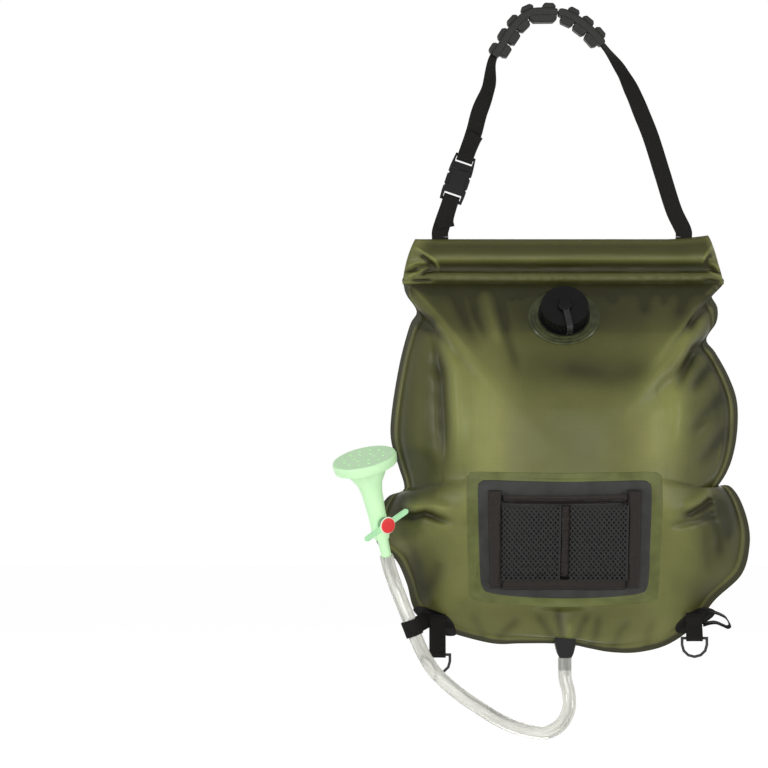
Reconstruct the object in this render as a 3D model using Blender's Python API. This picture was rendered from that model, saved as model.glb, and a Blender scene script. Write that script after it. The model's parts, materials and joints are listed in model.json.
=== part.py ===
"""Camp shower bag, hung by its handle and full: one object for each real piece.

Metres, +Z up, +X to the right, the front faces -Y. The origin is the hang point,
on the flat underside of the middle block of the grip.
"""
import math

import bmesh
import bpy
from mathutils import Matrix, Vector

# Gaps and cuts
FIT_GAP = 0.0003          # between pieces that touch
OVERRUN = 0.004           # how far a cutter runs past what it cuts
LEAST = 1e-9              # guards a division, not a size

# Bag
BAG_HALF_WIDTH = 0.229
BAG_HALF_HEIGHT = 0.227
BAG_CENTRE_X = 0.0216
BAG_TOP_Z = -0.3046       # top edge of the two panels, inside the header's foot
BELLY_DEPTH = 0.088       # half of the filled thickness
PANEL_WALL = 0.0014
WELD_WIDTH = 0.009        # flat weld flange all round
SEAM_LEAN = 0.060         # backward lean of the seam per metre of drop below the header

# Header that the two panels are welded into
HEADER_TOP_Z = -0.259
HEADER_HALF_TOP = 0.178
HEADER_HALF_FOOT = 0.196
HEADER_HALF_DEPTH = 0.0150
HEADER_WALL = 0.0013
HEADER_PINCH = 0.0045     # from the panels' top edge up to the foot of the loop
ROD_RADIUS = 0.0075
ROD_HALF_LENGTH = 0.172
ROD_SLACK = 0.0045        # room above the rod

# Webbing of the handle
WEB_WIDTH = 0.020
WEB_THICK = 0.0016
HANDLE_SPAN = 0.2946      # between the two roots
LEFT_ROOT_SHARE = 0.43788 # of the span, left of the middle
ROOT_DEPTH = 0.024        # stitched end of the webbing inside the header
PIVOT_RISE = 0.0022       # hinge line above the header's top edge

# Grip sleeves
GRIP_SPAN = 0.2946        # span that the arc of the grip is shaped for
GRIP_WIDTH = 0.026
GRIP_SKIN = 0.0022
GRIP_SPLIT = 0.0012       # daylight between the two sleeves
LUG_HEIGHT = 0.0115       # from the webbing line out
LUG_LENGTH = 0.0125
BLOCK_LENGTH = 0.0135
LONG_BLOCK_LENGTH = 0.0330
LUG_SLOPE = 0.0022
GRIP_DROP = 0.0145        # from the webbing line in to the flat underside of the blocks

# Buckle
BUCKLE_WIDTH = 0.0290
BUCKLE_THICK = 0.0084
BUCKLE_WALL = 0.0016
BUCKLE_BAR = 0.0036
BUCKLE_SLOT = 0.0066
FEMALE_LENGTH = 0.0300
MALE_BASE = 0.0080
ARM_LENGTH = 0.0235
ARM_WIDTH = 0.0030
ARM_THICK = 0.0040
PRONG_WIDTH = 0.0044
BUCKLE_SHARE = 0.3683     # of the span, left of the middle, to the middle of the female housing
BUCKLE_Z = -0.1900
TAIL_LENGTH = 0.0240
BUCKLE_TILT = 0.33        # lean of the left leg in radians

# Filler
FILLER_X = 0.0190
FILLER_DROP = 0.0484      # from the panels' top edge
DISC_RADIUS = 0.0430
DISC_THICK = 0.0011
NECK_RADIUS = 0.0195
NECK_WALL = 0.0030
NECK_HEIGHT = 0.0180
COLLAR_RADIUS = 0.0270
PANEL_HOLE_RADIUS = 0.0250 # cut in the front panel under the welded disc
COLLAR_THICK = 0.0020
THREAD_HEIGHT = 0.0012
CAP_RADIUS = 0.0288
CAP_HEIGHT = 0.0165
CAP_WALL = 0.0030
KNURL_DEPTH = 0.0009
SEAL_THICK = 0.0016
BOSS_RADIUS = 0.0088
BOSS_HEIGHT = 0.0060
TETHER_WIDTH = 0.0070
TETHER_THICK = 0.0018
RING_THICK = 0.0018

# Pocket
POCKET_X = 0.0180
POCKET_RISE = 0.1396      # from the panels' lower edge
PAD_WIDTH = 0.2060
PAD_HEIGHT = 0.1440
PAD_THICK = 0.0016
PAD_CORNER = 0.0130
PAD_BOW = 0.0050
FRAME_SIDE = 0.0120       # backing that shows beside the bindings
FRAME_END = 0.0115        # and above and below them
BINDING_WIDTH = 0.0165
HEM_WIDTH = 0.0150
DIVIDER_WIDTH = 0.0130
POCKET_SLACK = 0.0095     # room behind the nets
NET_THICK = 0.0012
NET_STRAND = 0.0022
NET_LIFT = 0.0007         # binding proud of the net
NET_COLUMNS = 7
NET_ROWS = 9

# Outlet
OUTLET_X = 0.0216
OUTLET_RISE = 0.0366      # from the panels' lower edge
OUTLET_DISC_RADIUS = 0.0190
OUTLET_DISC_THICK = 0.0011
HOOD_WIDTH = 0.0245
HOOD_RISE = 0.0080        # above the outlet's middle
HOOD_FALL = 0.0420        # below it
HOOD_FRONT = 0.0430       # in front of the seam
HOOD_BACK = 0.0130
HOOD_CORNER = 0.0050
BARB_RADIUS = 0.0058
BARB_BORE = 0.0036
BARB_LENGTH = 0.0160
BARB_RIDGE = 0.0013
BARB_COUNT = 3

# Hose
HOSE_DIAMETER = 0.0165
HOSE_OUTLET_Z = -0.7220   # height of the outlet that the route and the head were placed for
HOSE_LOOP_POINT = 14      # the strap loop holds the hose just past this point of its route

# Shower head
HEAD_X = -0.2030          # middle of its valve
HEAD_Y = -0.0440
HEAD_Z = -0.6000
ROSE_RADIUS = 0.0390
ROSE_RIM = 0.0125
ROSE_TOP = 0.0840         # from the valve to the rose's face
NECK_TOP = 0.0500         # from the valve to where the trumpet opens
STEM_RADIUS = 0.0125
STEM_WAIST = 0.0108
HEAD_WALL = 0.0022
FACE_THICK = 0.0020
FACE_HOLES = 12
FACE_HOLE_RADIUS = 0.0016
VALVE_RADIUS = 0.0062     # plug that turns across the stem
VALVE_PORT = 0.0026
VALVE_REACH = 0.0225      # from the stem's axis to the button's face
LEVER_HALF_LENGTH = 0.0335
LEVER_WIDTH = 0.0062
LEVER_THICK = 0.0036
LEVER_TILT = 12           # degrees
VALVE_TURN = 30           # degrees that the plug is turned from the front to the right
HEAD_LEAN_SHARES = (-0.21, -0.30, 0.93)
BUTTON_RADIUS = 0.0090
BUTTON_THICK = 0.0034
SPIGOT_RADIUS = 0.0060
SPIGOT_END = 0.0430       # from the valve down to the spigot's end
SPIGOT_TOP = 0.0210

# Corner sets: patch, webbing tab, D-ring and strap loop
PATCH_RADIUS = 0.0240
PATCH_THICK = 0.0012
LEFT_PATCH_X = -0.1320
LEFT_PATCH_RISE = 0.0466  # from the panels' lower edge
RIGHT_PATCH_X = 0.1790
RIGHT_PATCH_RISE = 0.0486
LEFT_TAB_DROP = 0.0500    # from the patch's middle to the D-ring's bar
RIGHT_TAB_DROP = 0.0320
TAB_START = 0.0020        # from the patch's middle down to the tab's stitched end
TAB_STAND = 0.0210        # bar in front of the seam
RING_WIRE = 0.0036
D_RING_HALF = 0.0150
D_RING_DROP = 0.0225
D_RING_SIDE = 0.0080
LOOP_ROOM = 0.0080        # inside the empty strap loop
LOOP_REACH = 0.0340       # of the spare loop from the tab's side
LOOP_ASIDE = 0.0050       # from the tab's edge to the hose loop's root
LOOP_BELOW = 0.0060       # of both loops below the patch's middle

# Bag outline seen from the front, clockwise from the top left, as shares of half width and half height
OUTLINE_SHARES = (
    (-0.859, 1.0), (-0.66, 1.0), (-0.44, 1.0), (-0.22, 1.0), (0.0, 1.0), (0.22, 1.0), (0.44, 1.0),
    (0.65, 1.0), (0.853, 1.0), (0.851, 0.956), (0.843, 0.873), (0.827, 0.757), (0.743, 0.661),
    (0.785, 0.598),
    (0.848, 0.476), (0.895, 0.344), (0.9, 0.196), (0.874, 0.053), (0.843, -0.085), (0.932, -0.222),
    (0.995, -0.418), (0.942, -0.603), (0.8, -0.73), (0.7, -0.862), (0.555, -0.974), (0.398, -1.0),
    (0.257, -0.995), (0.063, -0.952), (-0.068, -0.942), (-0.225, -0.942), (-0.377, -0.942),
    (-0.586, -0.9), (-0.712, -0.862), (-0.796, -0.772), (-0.832, -0.64), (-0.89, -0.503),
    (-0.984, -0.439), (-1.0, -0.37), (-0.984, -0.265), (-0.942, -0.185), (-0.848, -0.122),
    (-0.874, -0.032), (-0.921, 0.122), (-0.916, 0.291), (-0.869, 0.556), (-0.8, 0.847), (-0.843, 0.91),
    (-0.856, 0.956),
)
RING_SHARES = (0.965, 0.88, 0.74, 0.55, 0.3)
# Share of the belly's depth against share of the bag's height from its foot
DEPTH_SHARES = ((0.0, 0.7), (0.15, 0.9), (0.38, 1.0), (0.65, 0.96), (0.85, 0.84), (1.0, 0.6))
BELLY_POWER = 2.4
BELLY_ROUND = 0.8

SEAM_HALF = FIT_GAP / 2
FRONT = Vector((0, -1, 0))
UP = Vector((0, 0, 1))


def clear_scene():
    for item in list(bpy.data.objects):
        bpy.data.objects.remove(item, do_unlink=True)


def material(name, colour, roughness, metallic=0.0):
    made = bpy.data.materials.new(name)
    made.use_nodes = True
    shader = made.node_tree.nodes["Principled BSDF"]
    shader.inputs["Base Color"].default_value = (*colour, 1.0)
    shader.inputs["Roughness"].default_value = roughness
    shader.inputs["Metallic"].default_value = metallic
    return made


def fabric_material():
    return material("olive_fabric", (0.16, 0.17, 0.06), 0.45)


def webbing_material():
    return material("black_webbing", (0.012, 0.011, 0.010), 0.85)


def rubber_material():
    return material("grip_rubber", (0.036, 0.036, 0.033), 0.6)


def buckle_material():
    return material("black_plastic", (0.010, 0.010, 0.011), 0.35)


def backing_material():
    return material("pocket_backing", (0.05, 0.05, 0.048), 0.55)


def binding_material():
    return material("pocket_binding", (0.022, 0.018, 0.017), 0.8)


def weld_material():
    return material("green_weld_disc", (0.11, 0.13, 0.055), 0.25)


def mint_material():
    return material("mint_plastic", (0.58, 0.95, 0.55), 0.4)


def red_material():
    return material("red_plastic", (0.83, 0.03, 0.04), 0.35)


def hose_material():
    return material("clear_hose", (0.75, 0.75, 0.67), 0.15)


def rod_material():
    return material("rod_plastic", (0.3, 0.3, 0.3), 0.4)


def add_mesh(name, mesh, surface, place=None, smooth_angle=None):
    """Link one closed body as an object, its faces pointing out."""
    bmesh.ops.recalc_face_normals(mesh, faces=mesh.faces)
    data = bpy.data.meshes.new(name)
    mesh.to_mesh(data)
    mesh.free()
    data.materials.append(surface)
    if smooth_angle:
        data.shade_smooth()
        data.set_sharp_from_angle(angle=smooth_angle)
    item = bpy.data.objects.new(name, data)
    bpy.context.collection.objects.link(item)
    if place:
        item.matrix_world = place
    return item


def hide_cutter(item):
    item.hide_render = True
    item.display_type = "WIRE"
    return item


def combine(item, other, operation):
    step = item.modifiers.new(other.name, "BOOLEAN")
    step.operation = operation
    step.solver = "EXACT"
    step.object = other


def bridge(mesh, first, second):
    """Quads between two closed loops with as many points."""
    for i in range(len(first)):
        after = (i + 1) % len(first)
        mesh.faces.new((first[i], first[after], second[after], second[i]))


def prism(name, outline, low, high, surface, place=None):
    """A flat outline in X and Z, extruded along Y."""
    mesh = bmesh.new()
    front = [mesh.verts.new((x, low, z)) for x, z in outline]
    back = [mesh.verts.new((x, high, z)) for x, z in outline]
    bridge(mesh, front, back)
    mesh.faces.new(front)
    mesh.faces.new(back)
    return add_mesh(name, mesh, surface, place)


def box(name, low, high, surface, place=None):
    outline = ((low[0], low[2]), (high[0], low[2]), (high[0], high[2]), (low[0], high[2]))
    return prism(name, outline, low[1], high[1], surface, place)


def turned(name, profile, surface, place=None, sides=24, ripple=None, closed=True):
    """Turn (radius, height) points about Z. A closed profile makes a ring, an open one ends on the axis."""
    mesh = bmesh.new()
    loops = []
    for k, (radius, height) in enumerate(profile):
        if radius == 0:
            loops.append([mesh.verts.new((0, 0, height))])
            continue
        loop = []
        for i in range(sides):
            turn = 2 * math.pi * i / sides
            dip = ripple if ripple and i % 2 and k in (1, 2) else 0
            reach = radius - dip
            loop.append(mesh.verts.new((reach * math.cos(turn), reach * math.sin(turn), height)))
        loops.append(loop)
    pairs = list(zip(loops, loops[1:]))
    if closed:
        pairs.append((loops[-1], loops[0]))
    for first, second in pairs:
        if len(first) == 1 or len(second) == 1:
            tip, ring = (first[0], second) if len(first) == 1 else (second[0], first)
            for i in range(sides):
                mesh.faces.new((tip, ring[i], ring[(i + 1) % sides]))
        else:
            bridge(mesh, first, second)
    return add_mesh(name, mesh, surface, place, math.radians(35))


def ribbon(name, stations, width, thick, surface):
    """A strap through stations of (point, direction of its width), mitred where it bends."""
    mesh = bmesh.new()
    points = [Vector(point) for point, _ in stations]
    loops = []
    for i, (_, across) in enumerate(stations):
        before = (points[i] - points[max(i - 1, 0)]).normalized()
        after = (points[min(i + 1, len(points) - 1)] - points[i]).normalized()
        along = (before + after).normalized()
        across = (across - along * across.dot(along)).normalized()
        face = along.cross(across)
        sharpness = max(along.dot(after if after.length else before), 0.5)
        half = face * (thick / 2 / sharpness)
        side = across * (width / 2)
        corners = (side + half, side - half, -side - half, -side + half)
        loops.append([mesh.verts.new(points[i] + corner) for corner in corners])
    for first, second in zip(loops, loops[1:]):
        bridge(mesh, first, second)
    mesh.faces.new(loops[0])
    mesh.faces.new(loops[-1])
    return add_mesh(name, mesh, surface)


def arc(centre, radius, start, end, count):
    """Points (first, second) on an arc in the plane, degrees."""
    found = []
    for i in range(count + 1):
        turn = math.radians(start + (end - start) * i / count)
        found.append((centre[0] + radius * math.cos(turn), centre[1] + radius * math.sin(turn)))
    return found


def frame_at(origin, up, front):
    """A frame whose Z is up and whose -Y is as near to front as that allows."""
    third = up.normalized()
    second = -(front - third * front.dot(third)).normalized()
    first = second.cross(third)
    turn = Matrix((first, second, third)).transposed().to_4x4()
    return Matrix.Translation(origin) @ turn


def bag_centre():
    return Vector((BAG_CENTRE_X, BAG_TOP_Z - BAG_HALF_HEIGHT))


def bag_foot():
    return BAG_TOP_Z - 2 * BAG_HALF_HEIGHT


def filler_z():
    return BAG_TOP_Z - FILLER_DROP


def outlet_z():
    return bag_foot() + OUTLET_RISE


def corner_set(side):
    """Middle of a corner set's patch, in X and Z."""
    if side == "left":
        return LEFT_PATCH_X, bag_foot() + LEFT_PATCH_RISE
    return RIGHT_PATCH_X, bag_foot() + RIGHT_PATCH_RISE


def hose_shift():
    """How far the route and the head move with the outlet."""
    back = seam_y(outlet_z()) - seam_y(HOSE_OUTLET_Z)
    return Vector((0, back, outlet_z() - HOSE_OUTLET_Z))


def hose_route():
    return [Vector(point) + hose_shift() for point in HOSE_POINTS]


def bag_outline():
    return [bag_centre() + Vector((BAG_HALF_WIDTH * x, BAG_HALF_HEIGHT * z)) for x, z in OUTLINE_SHARES]


def share_at(table, place):
    """Read a table of (place, share) between its rows."""
    for (low, first), (high, second) in zip(table, table[1:]):
        if place <= high:
            return first + (second - first) * max(place - low, 0) / (high - low)
    return table[-1][1]


def outline_reach(direction):
    """Distance from the bag's centre to its outline along a direction."""
    outline = [point - bag_centre() for point in bag_outline()]
    reach = 0
    for first, second in zip(outline, outline[1:] + outline[:1]):
        edge = second - first
        cross = direction.x * edge.y - direction.y * edge.x
        if abs(cross) < LEAST * LEAST:
            continue
        along = (first.x * edge.y - first.y * edge.x) / cross
        share = (first.x * direction.y - first.y * direction.x) / cross
        if along > 0 and -LEAST <= share <= 1 + LEAST:
            reach = max(reach, along)
    return reach


def belly_depth(x, z):
    """How far the filled panel stands off the seam plane."""
    offset = Vector((x, z)) - bag_centre()
    if offset.length > LEAST:
        inside = max(outline_reach(offset.normalized()) - WELD_WIDTH, LEAST)
        ring = min(offset.length / inside, 1)
    else:
        ring = 0
    rise = min(max((z - bag_foot()) / (BAG_TOP_Z - bag_foot()), 0), 1)
    return BELLY_DEPTH * share_at(DEPTH_SHARES, rise) * (1 - ring ** BELLY_POWER) ** BELLY_ROUND


def seam_y(z):
    """The seam plane, which leans back from the header down."""
    return SEAM_LEAN * max(header_foot() - z, 0)


def front_y(x, z, proud=0.0):
    """Y of the front panel's outside, or of a layer that stands proud of it."""
    return seam_y(z) - (SEAM_HALF + PANEL_WALL + belly_depth(x, z) + proud)


def front_point(x, z, proud=0.0):
    return Vector((x, front_y(x, z, proud), z))


def strap_point(x, z, proud):
    """Where the middle of a strap lies so that its whole width is clear of the bag."""
    depth = min(front_y(x + side * WEB_WIDTH / 2, z, proud) for side in (-1, 0, 1))
    return Vector((x, depth, z))


def front_normal(x, z):
    """Outward direction of the front panel, from the weld width around a point."""
    across = front_point(x + WELD_WIDTH, z) - front_point(x - WELD_WIDTH, z)
    upward = front_point(x, z + WELD_WIDTH) - front_point(x, z - WELD_WIDTH)
    normal = across.cross(upward).normalized()
    return normal if normal.y < 0 else -normal


def belly_rings():
    """Rings of (x, z, depth) from the outline in to the middle."""
    outline = bag_outline()
    rings = [[(point.x, point.y, 0) for point in outline]]
    inner = []
    for point in outline:
        spoke = point - bag_centre()
        reach = spoke.length if point.y < BAG_TOP_Z - FIT_GAP else abs(spoke.y)
        inner.append(bag_centre() + spoke * (1 - WELD_WIDTH / reach))
    rings.append([(point.x, point.y, 0) for point in inner])
    for share in RING_SHARES:
        ring = [bag_centre() + (point - bag_centre()) * share for point in inner]
        rings.append([(point.x, point.y, belly_depth(point.x, point.y)) for point in ring])
    return rings


def belly_skin(mesh, side, stand):
    """One skin of a panel as rings of vertices and a middle vertex, side -1 in front, +1 behind."""
    loops = []
    for ring in belly_rings():
        loops.append([mesh.verts.new((x, seam_y(z) + side * (stand + depth), z)) for x, z, depth in ring])
    centre = bag_centre()
    middle_y = seam_y(centre.y) + side * (stand + belly_depth(centre.x, centre.y))
    middle = mesh.verts.new((centre.x, middle_y, centre.y))
    for first, second in zip(loops, loops[1:]):
        for i in range(len(first)):
            after = (i + 1) % len(first)
            mesh.faces.new((first[i], first[after], second[i]))
            mesh.faces.new((first[after], second[after], second[i]))
    last = loops[-1]
    for i in range(len(last)):
        mesh.faces.new((middle, last[i], last[(i + 1) % len(last)]))
    return loops[0]


def panel(name, side, surface):
    """A thin dome with a flat weld flange, open towards the other panel."""
    mesh = bmesh.new()
    outer = belly_skin(mesh, side, SEAM_HALF + PANEL_WALL)
    inner = belly_skin(mesh, side, SEAM_HALF)
    bridge(mesh, outer, inner)
    return add_mesh(name, mesh, surface, None, math.radians(50))


def belly_block(name, proud, surface, spread=0.0):
    """A solid that fills the bag and stands proud of the front panel, to seat pieces on it."""
    mesh = bmesh.new()
    front = belly_skin(mesh, -1, SEAM_HALF + PANEL_WALL + proud)
    if spread:
        rim = []
        for vert in front:
            spoke = Vector((vert.co.x - bag_centre().x, 0, vert.co.z - bag_centre().y))
            rim.append(mesh.verts.new(vert.co + spoke.normalized() * spread))
        bridge(mesh, front, rim)
        front = rim
    back = [mesh.verts.new((vert.co.x, BELLY_DEPTH, vert.co.z)) for vert in front]
    bridge(mesh, front, back)
    mesh.faces.new(back)
    return hide_cutter(add_mesh(name, mesh, surface))


def seated(name, outline, low, high, surface):
    """A piece of the given outline that lies on the front panel between two heights."""
    deep = -(SEAM_HALF + PANEL_WALL + BELLY_DEPTH + high + OVERRUN)
    item = prism(name, outline, deep, BELLY_DEPTH / 2, surface)
    combine(item, belly_block(name + "_top_cutter", high, surface), "INTERSECT")
    combine(item, belly_block(name + "_seat_cutter", low, surface, OVERRUN), "DIFFERENCE")
    return item


def drill(item, place, radius, depth, surface, sides=24):
    """Cut a round hole along the frame's Z, both ways."""
    profile = ((0, -depth), (radius, -depth), (radius, depth), (0, depth))
    cutter = hide_cutter(turned(item.name + "_hole_cutter", profile, surface, place, sides, None, False))
    combine(item, cutter, "DIFFERENCE")


def round_outline(x, z, radius, count=24):
    return [(x + a, z + b) for a, b in arc((0, 0), radius, 0, 360, count)[:-1]]


def rounded_rectangle(x, z, width, height, corner, bow=0.0, steps=4):
    """Corner arcs joined by straight sides, the foot bowed down in the middle."""
    half_x = width / 2 - corner
    half_z = height / 2 - corner
    found = []
    for turn, side_x, side_z in ((0, 1, 1), (90, -1, 1), (180, -1, -1), (270, 1, -1)):
        found += arc((x + side_x * half_x, z + side_z * half_z), corner, turn, turn + 90, steps)
        if turn == 180 and bow:
            found.append((x, z - height / 2 - bow))
    return found


def filler_frame():
    """Z out of the bag along the filler's axis, -Y towards the foot of the bag."""
    return frame_at(front_point(FILLER_X, filler_z()), front_normal(FILLER_X, filler_z()), -UP)


def outlet_frame():
    return frame_at(front_point(OUTLET_X, outlet_z()), front_normal(OUTLET_X, outlet_z()), -UP)


def build_panels(olive):
    front = panel("front_panel", -1, olive)
    drill(front, filler_frame(), PANEL_HOLE_RADIUS, COLLAR_RADIUS, olive)
    drill(front, outlet_frame(), BARB_RADIUS + FIT_GAP, OUTLET_DISC_RADIUS, olive, 16)
    panel("back_panel", 1, olive)


def header_foot():
    return BAG_TOP_Z - WELD_WIDTH + FIT_GAP


def header_pinch():
    return BAG_TOP_Z + HEADER_PINCH


def header_skin(half, inset):
    """One skin of the header in Y and Z, from its front foot over the top to its back foot."""
    pinch = header_pinch()
    tall = (HEADER_TOP_Z - pinch) / 2
    deep = HEADER_HALF_DEPTH - inset
    skirt = math.degrees(math.asin(half / deep))
    found = [(-half, header_foot()), (-half, pinch)]
    count = 12
    for i in range(count + 1):
        turn = math.radians(270 - skirt + (2 * skirt - 360) * i / count)
        found.append((deep * math.cos(turn), pinch + tall + (tall - inset) * math.sin(turn)))
    return found + [(half, pinch), (half, header_foot())]


def strap_roots():
    left = -LEFT_ROOT_SHARE * HANDLE_SPAN
    return ("left", left), ("right", left + HANDLE_SPAN)


def build_header(olive):
    """The folded-over top, a trapezoid from the front, welded to both panels."""
    inner_half = SEAM_HALF + PANEL_WALL + FIT_GAP
    outer = header_skin(inner_half + HEADER_WALL, 0)
    inner = header_skin(inner_half, HEADER_WALL)
    loop = outer + inner[::-1]
    mesh = bmesh.new()
    ends = []
    for side in (-1, 1):
        end = []
        for y, z in loop:
            share = (z - header_foot()) / (HEADER_TOP_Z - header_foot())
            half = HEADER_HALF_FOOT + (HEADER_HALF_TOP - HEADER_HALF_FOOT) * share
            end.append(mesh.verts.new((BAG_CENTRE_X + side * half, y, z)))
        ends.append(end)
    bridge(mesh, ends[0], ends[1])
    for end in ends:
        mesh.faces.new(end)
    header = add_mesh("header_sleeve", mesh, olive, None, math.radians(40))
    for side, root in strap_roots():
        half_x = WEB_WIDTH / 2 + FIT_GAP
        half_y = WEB_THICK / 2 + FIT_GAP
        low = (root - half_x, -half_y, HEADER_TOP_Z - HEADER_WALL - WEB_THICK / 2)
        high = (root + half_x, half_y, HEADER_TOP_Z + OVERRUN)
        slit = hide_cutter(box("slit_" + side, low, high, olive))
        combine(header, slit, "DIFFERENCE")


def rod_z():
    return HEADER_TOP_Z - HEADER_WALL - WEB_THICK - ROD_SLACK - ROD_RADIUS


def build_rod(grey):
    profile = ((0, -ROD_HALF_LENGTH), (ROD_RADIUS, -ROD_HALF_LENGTH), (ROD_RADIUS, ROD_HALF_LENGTH),
               (0, ROD_HALF_LENGTH))
    place = frame_at(Vector((BAG_CENTRE_X, 0, rod_z())), Vector((1, 0, 0)), FRONT)
    turned("header_rod", profile, grey, place, 16, None, False)


def pivot_z():
    """Height of the line that the bag swings about."""
    return HEADER_TOP_Z + PIVOT_RISE


def build_strap_roots(black):
    """The stitched webbing ends inside the header, bent round the front of the rod."""
    wrap = ROD_RADIUS + FIT_GAP + WEB_THICK / 2
    for side, root in strap_roots():
        path = [(0, pivot_z()), (0, rod_z() + wrap)] + arc((0, rod_z()), wrap, 115, 180, 4)
        path.append((-wrap, rod_z() - ROOT_DEPTH / 2))
        strip(f"strap_root_{side}", path, WEB_THICK, root, WEB_WIDTH, black)


def strip(name, path, thick, centre_x, width, surface):
    """A strap whose path lies in Y and Z, its first end rounded about its first point."""
    left, right = [], []
    points = [Vector(point) for point in path]
    for i, point in enumerate(points):
        before = (point - points[max(i - 1, 0)]).normalized()
        after = (points[min(i + 1, len(points) - 1)] - point).normalized()
        along = (before + after).normalized()
        normal = Vector((-along.y, along.x))
        reach = thick / 2 / along.dot(after if after.length else before)
        left.append(point + normal * reach)
        right.append(point - normal * reach)
    first = points[0]
    turn = math.degrees(math.atan2(left[0].y - first.y, left[0].x - first.x))
    cap = [Vector(point) for point in arc(first, thick / 2, turn + 180, turn, 6)[1:-1]]
    outline = right[::-1] + cap + left
    mesh = bmesh.new()
    low = [mesh.verts.new((centre_x - width / 2, point.x, point.y)) for point in outline]
    high = [mesh.verts.new((centre_x + width / 2, point.x, point.y)) for point in outline]
    bridge(mesh, low, high)
    mesh.faces.new(low)
    mesh.faces.new(high)
    return add_mesh(name, mesh, surface)


# Line of the webbing: shares of the span between the roots, and of the drop from the grip to the roots
GRIP_SHARES = (
    (0.2363, 0.1530), (0.1921, 0.0950), (0.1524, 0.0550), (0.1052, 0.0200), (0.0510, 0.0),
    (-0.0760, 0.0), (-0.1134, 0.0360), (-0.1494, 0.0850), (-0.1826, 0.1410), (-0.2222, 0.2080),
)
RIGHT_LEG_SHARES = (
    (0.5231, 0.885), (0.4742, 0.717), (0.4253, 0.549), (0.3910, 0.455), (0.3555, 0.362), (0.3072, 0.260),
)
LEFT_LEG_SHARES = ((-0.2380, 0.3290), (-0.2780, 0.4480))
# Places of the grip's outer lugs and inner blocks along each sleeve, from the gap between the sleeves
RIGHT_LUG_SHARES = (0.18, 0.50, 0.83)
RIGHT_BLOCK_SHARES = (0.14, 0.44, 0.77)
LEFT_LUG_SHARES = (0.09, 0.34, 0.53, 0.72, 0.92)
LEFT_BLOCK_SHARES = (0.52, 0.71, 0.89)


def handle_point(share, span=HANDLE_SPAN):
    drop = GRIP_DROP - pivot_z()
    return Vector((span * share[0], 0, GRIP_DROP - drop * share[1]))


def grip_line():
    return [handle_point(share, GRIP_SPAN) for share in GRIP_SHARES]


def buckle_middle():
    return Vector((-BUCKLE_SHARE * HANDLE_SPAN, 0, BUCKLE_Z))


def buckle_point(across, depth, up):
    """A point in the buckle's own directions, which lean with the left leg."""
    lean = Matrix.Rotation(BUCKLE_TILT, 4, "Y")
    return buckle_middle() + lean @ Vector((across, depth, up))


def buckle_place():
    return Matrix.Translation(buckle_middle()) @ Matrix.Rotation(BUCKLE_TILT, 4, "Y")


def bar_wrap(bar_up, direction, tail):
    """Webbing round a buckle bar, coming from one side behind it and going back in front."""
    depth = (BUCKLE_THICK - 2 * BUCKLE_WALL) / 2 + WEB_THICK / 2
    past = BUCKLE_BAR / 2 + FIT_GAP + WEB_THICK / 2
    near = BUCKLE_BAR
    apart = WEB_THICK + FIT_GAP
    return [
        (depth, bar_up + direction * near), (depth, bar_up - direction * past),
        (-depth, bar_up - direction * past), (-depth, bar_up + direction * near),
        (-apart, bar_up + direction * (near + WEB_WIDTH / 4)), (-apart, bar_up + direction * (near + tail)),
    ]


def male_bar_up():
    return FEMALE_LENGTH / 2 + FIT_GAP + MALE_BASE + BUCKLE_SLOT + BUCKLE_BAR / 2


def female_bar_up():
    return -FEMALE_LENGTH / 2 - BUCKLE_SLOT - BUCKLE_BAR / 2


def build_webbing(black):
    """The long strap from the right root over the grip to the buckle, and the short one below it."""
    flat = Vector((1, 0, 0))
    edge = Vector((0, 1, 0))
    half_twist = (flat + edge).normalized()
    tilted = Matrix.Rotation(BUCKLE_TILT, 4, "Y") @ flat
    (_, left_x), (_, root_x) = strap_roots()
    start = pivot_z() + WEB_THICK / 2 + FIT_GAP
    lead = UP * (WEB_WIDTH / 4)
    foot = Vector((root_x, 0, start))
    stations = [(foot, flat), (foot + lead, flat)]
    for share in RIGHT_LEG_SHARES[:-1]:
        stations.append((handle_point(share), flat))
    stations.append((handle_point(RIGHT_LEG_SHARES[-1]), half_twist))
    stations += [(point, edge) for point in grip_line()]
    stations.append((handle_point(LEFT_LEG_SHARES[0]), half_twist))
    stations.append((handle_point(LEFT_LEG_SHARES[1]), flat))
    bar = male_bar_up()
    above = bar + BUCKLE_BAR + WEB_WIDTH / 4
    for up in (above + TAIL_LENGTH, above):
        stations.append((buckle_point(0, 0, up), tilted))
    stations += [(buckle_point(0, depth, up), tilted) for depth, up in bar_wrap(bar, 1, TAIL_LENGTH)]
    ribbon("main_webbing", stations, WEB_WIDTH, WEB_THICK, black)

    bar = female_bar_up()
    below = bar - BUCKLE_BAR - WEB_WIDTH / 4
    foot = Vector((left_x, 0, start))
    stations = [(foot, flat), (foot + lead, flat), (buckle_point(0, 0, below), tilted)]
    stations += [(buckle_point(0, depth, up), tilted) for depth, up in bar_wrap(bar, -1, TAIL_LENGTH)]
    ribbon("lower_webbing", stations, WEB_WIDTH, WEB_THICK, black)


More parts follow.
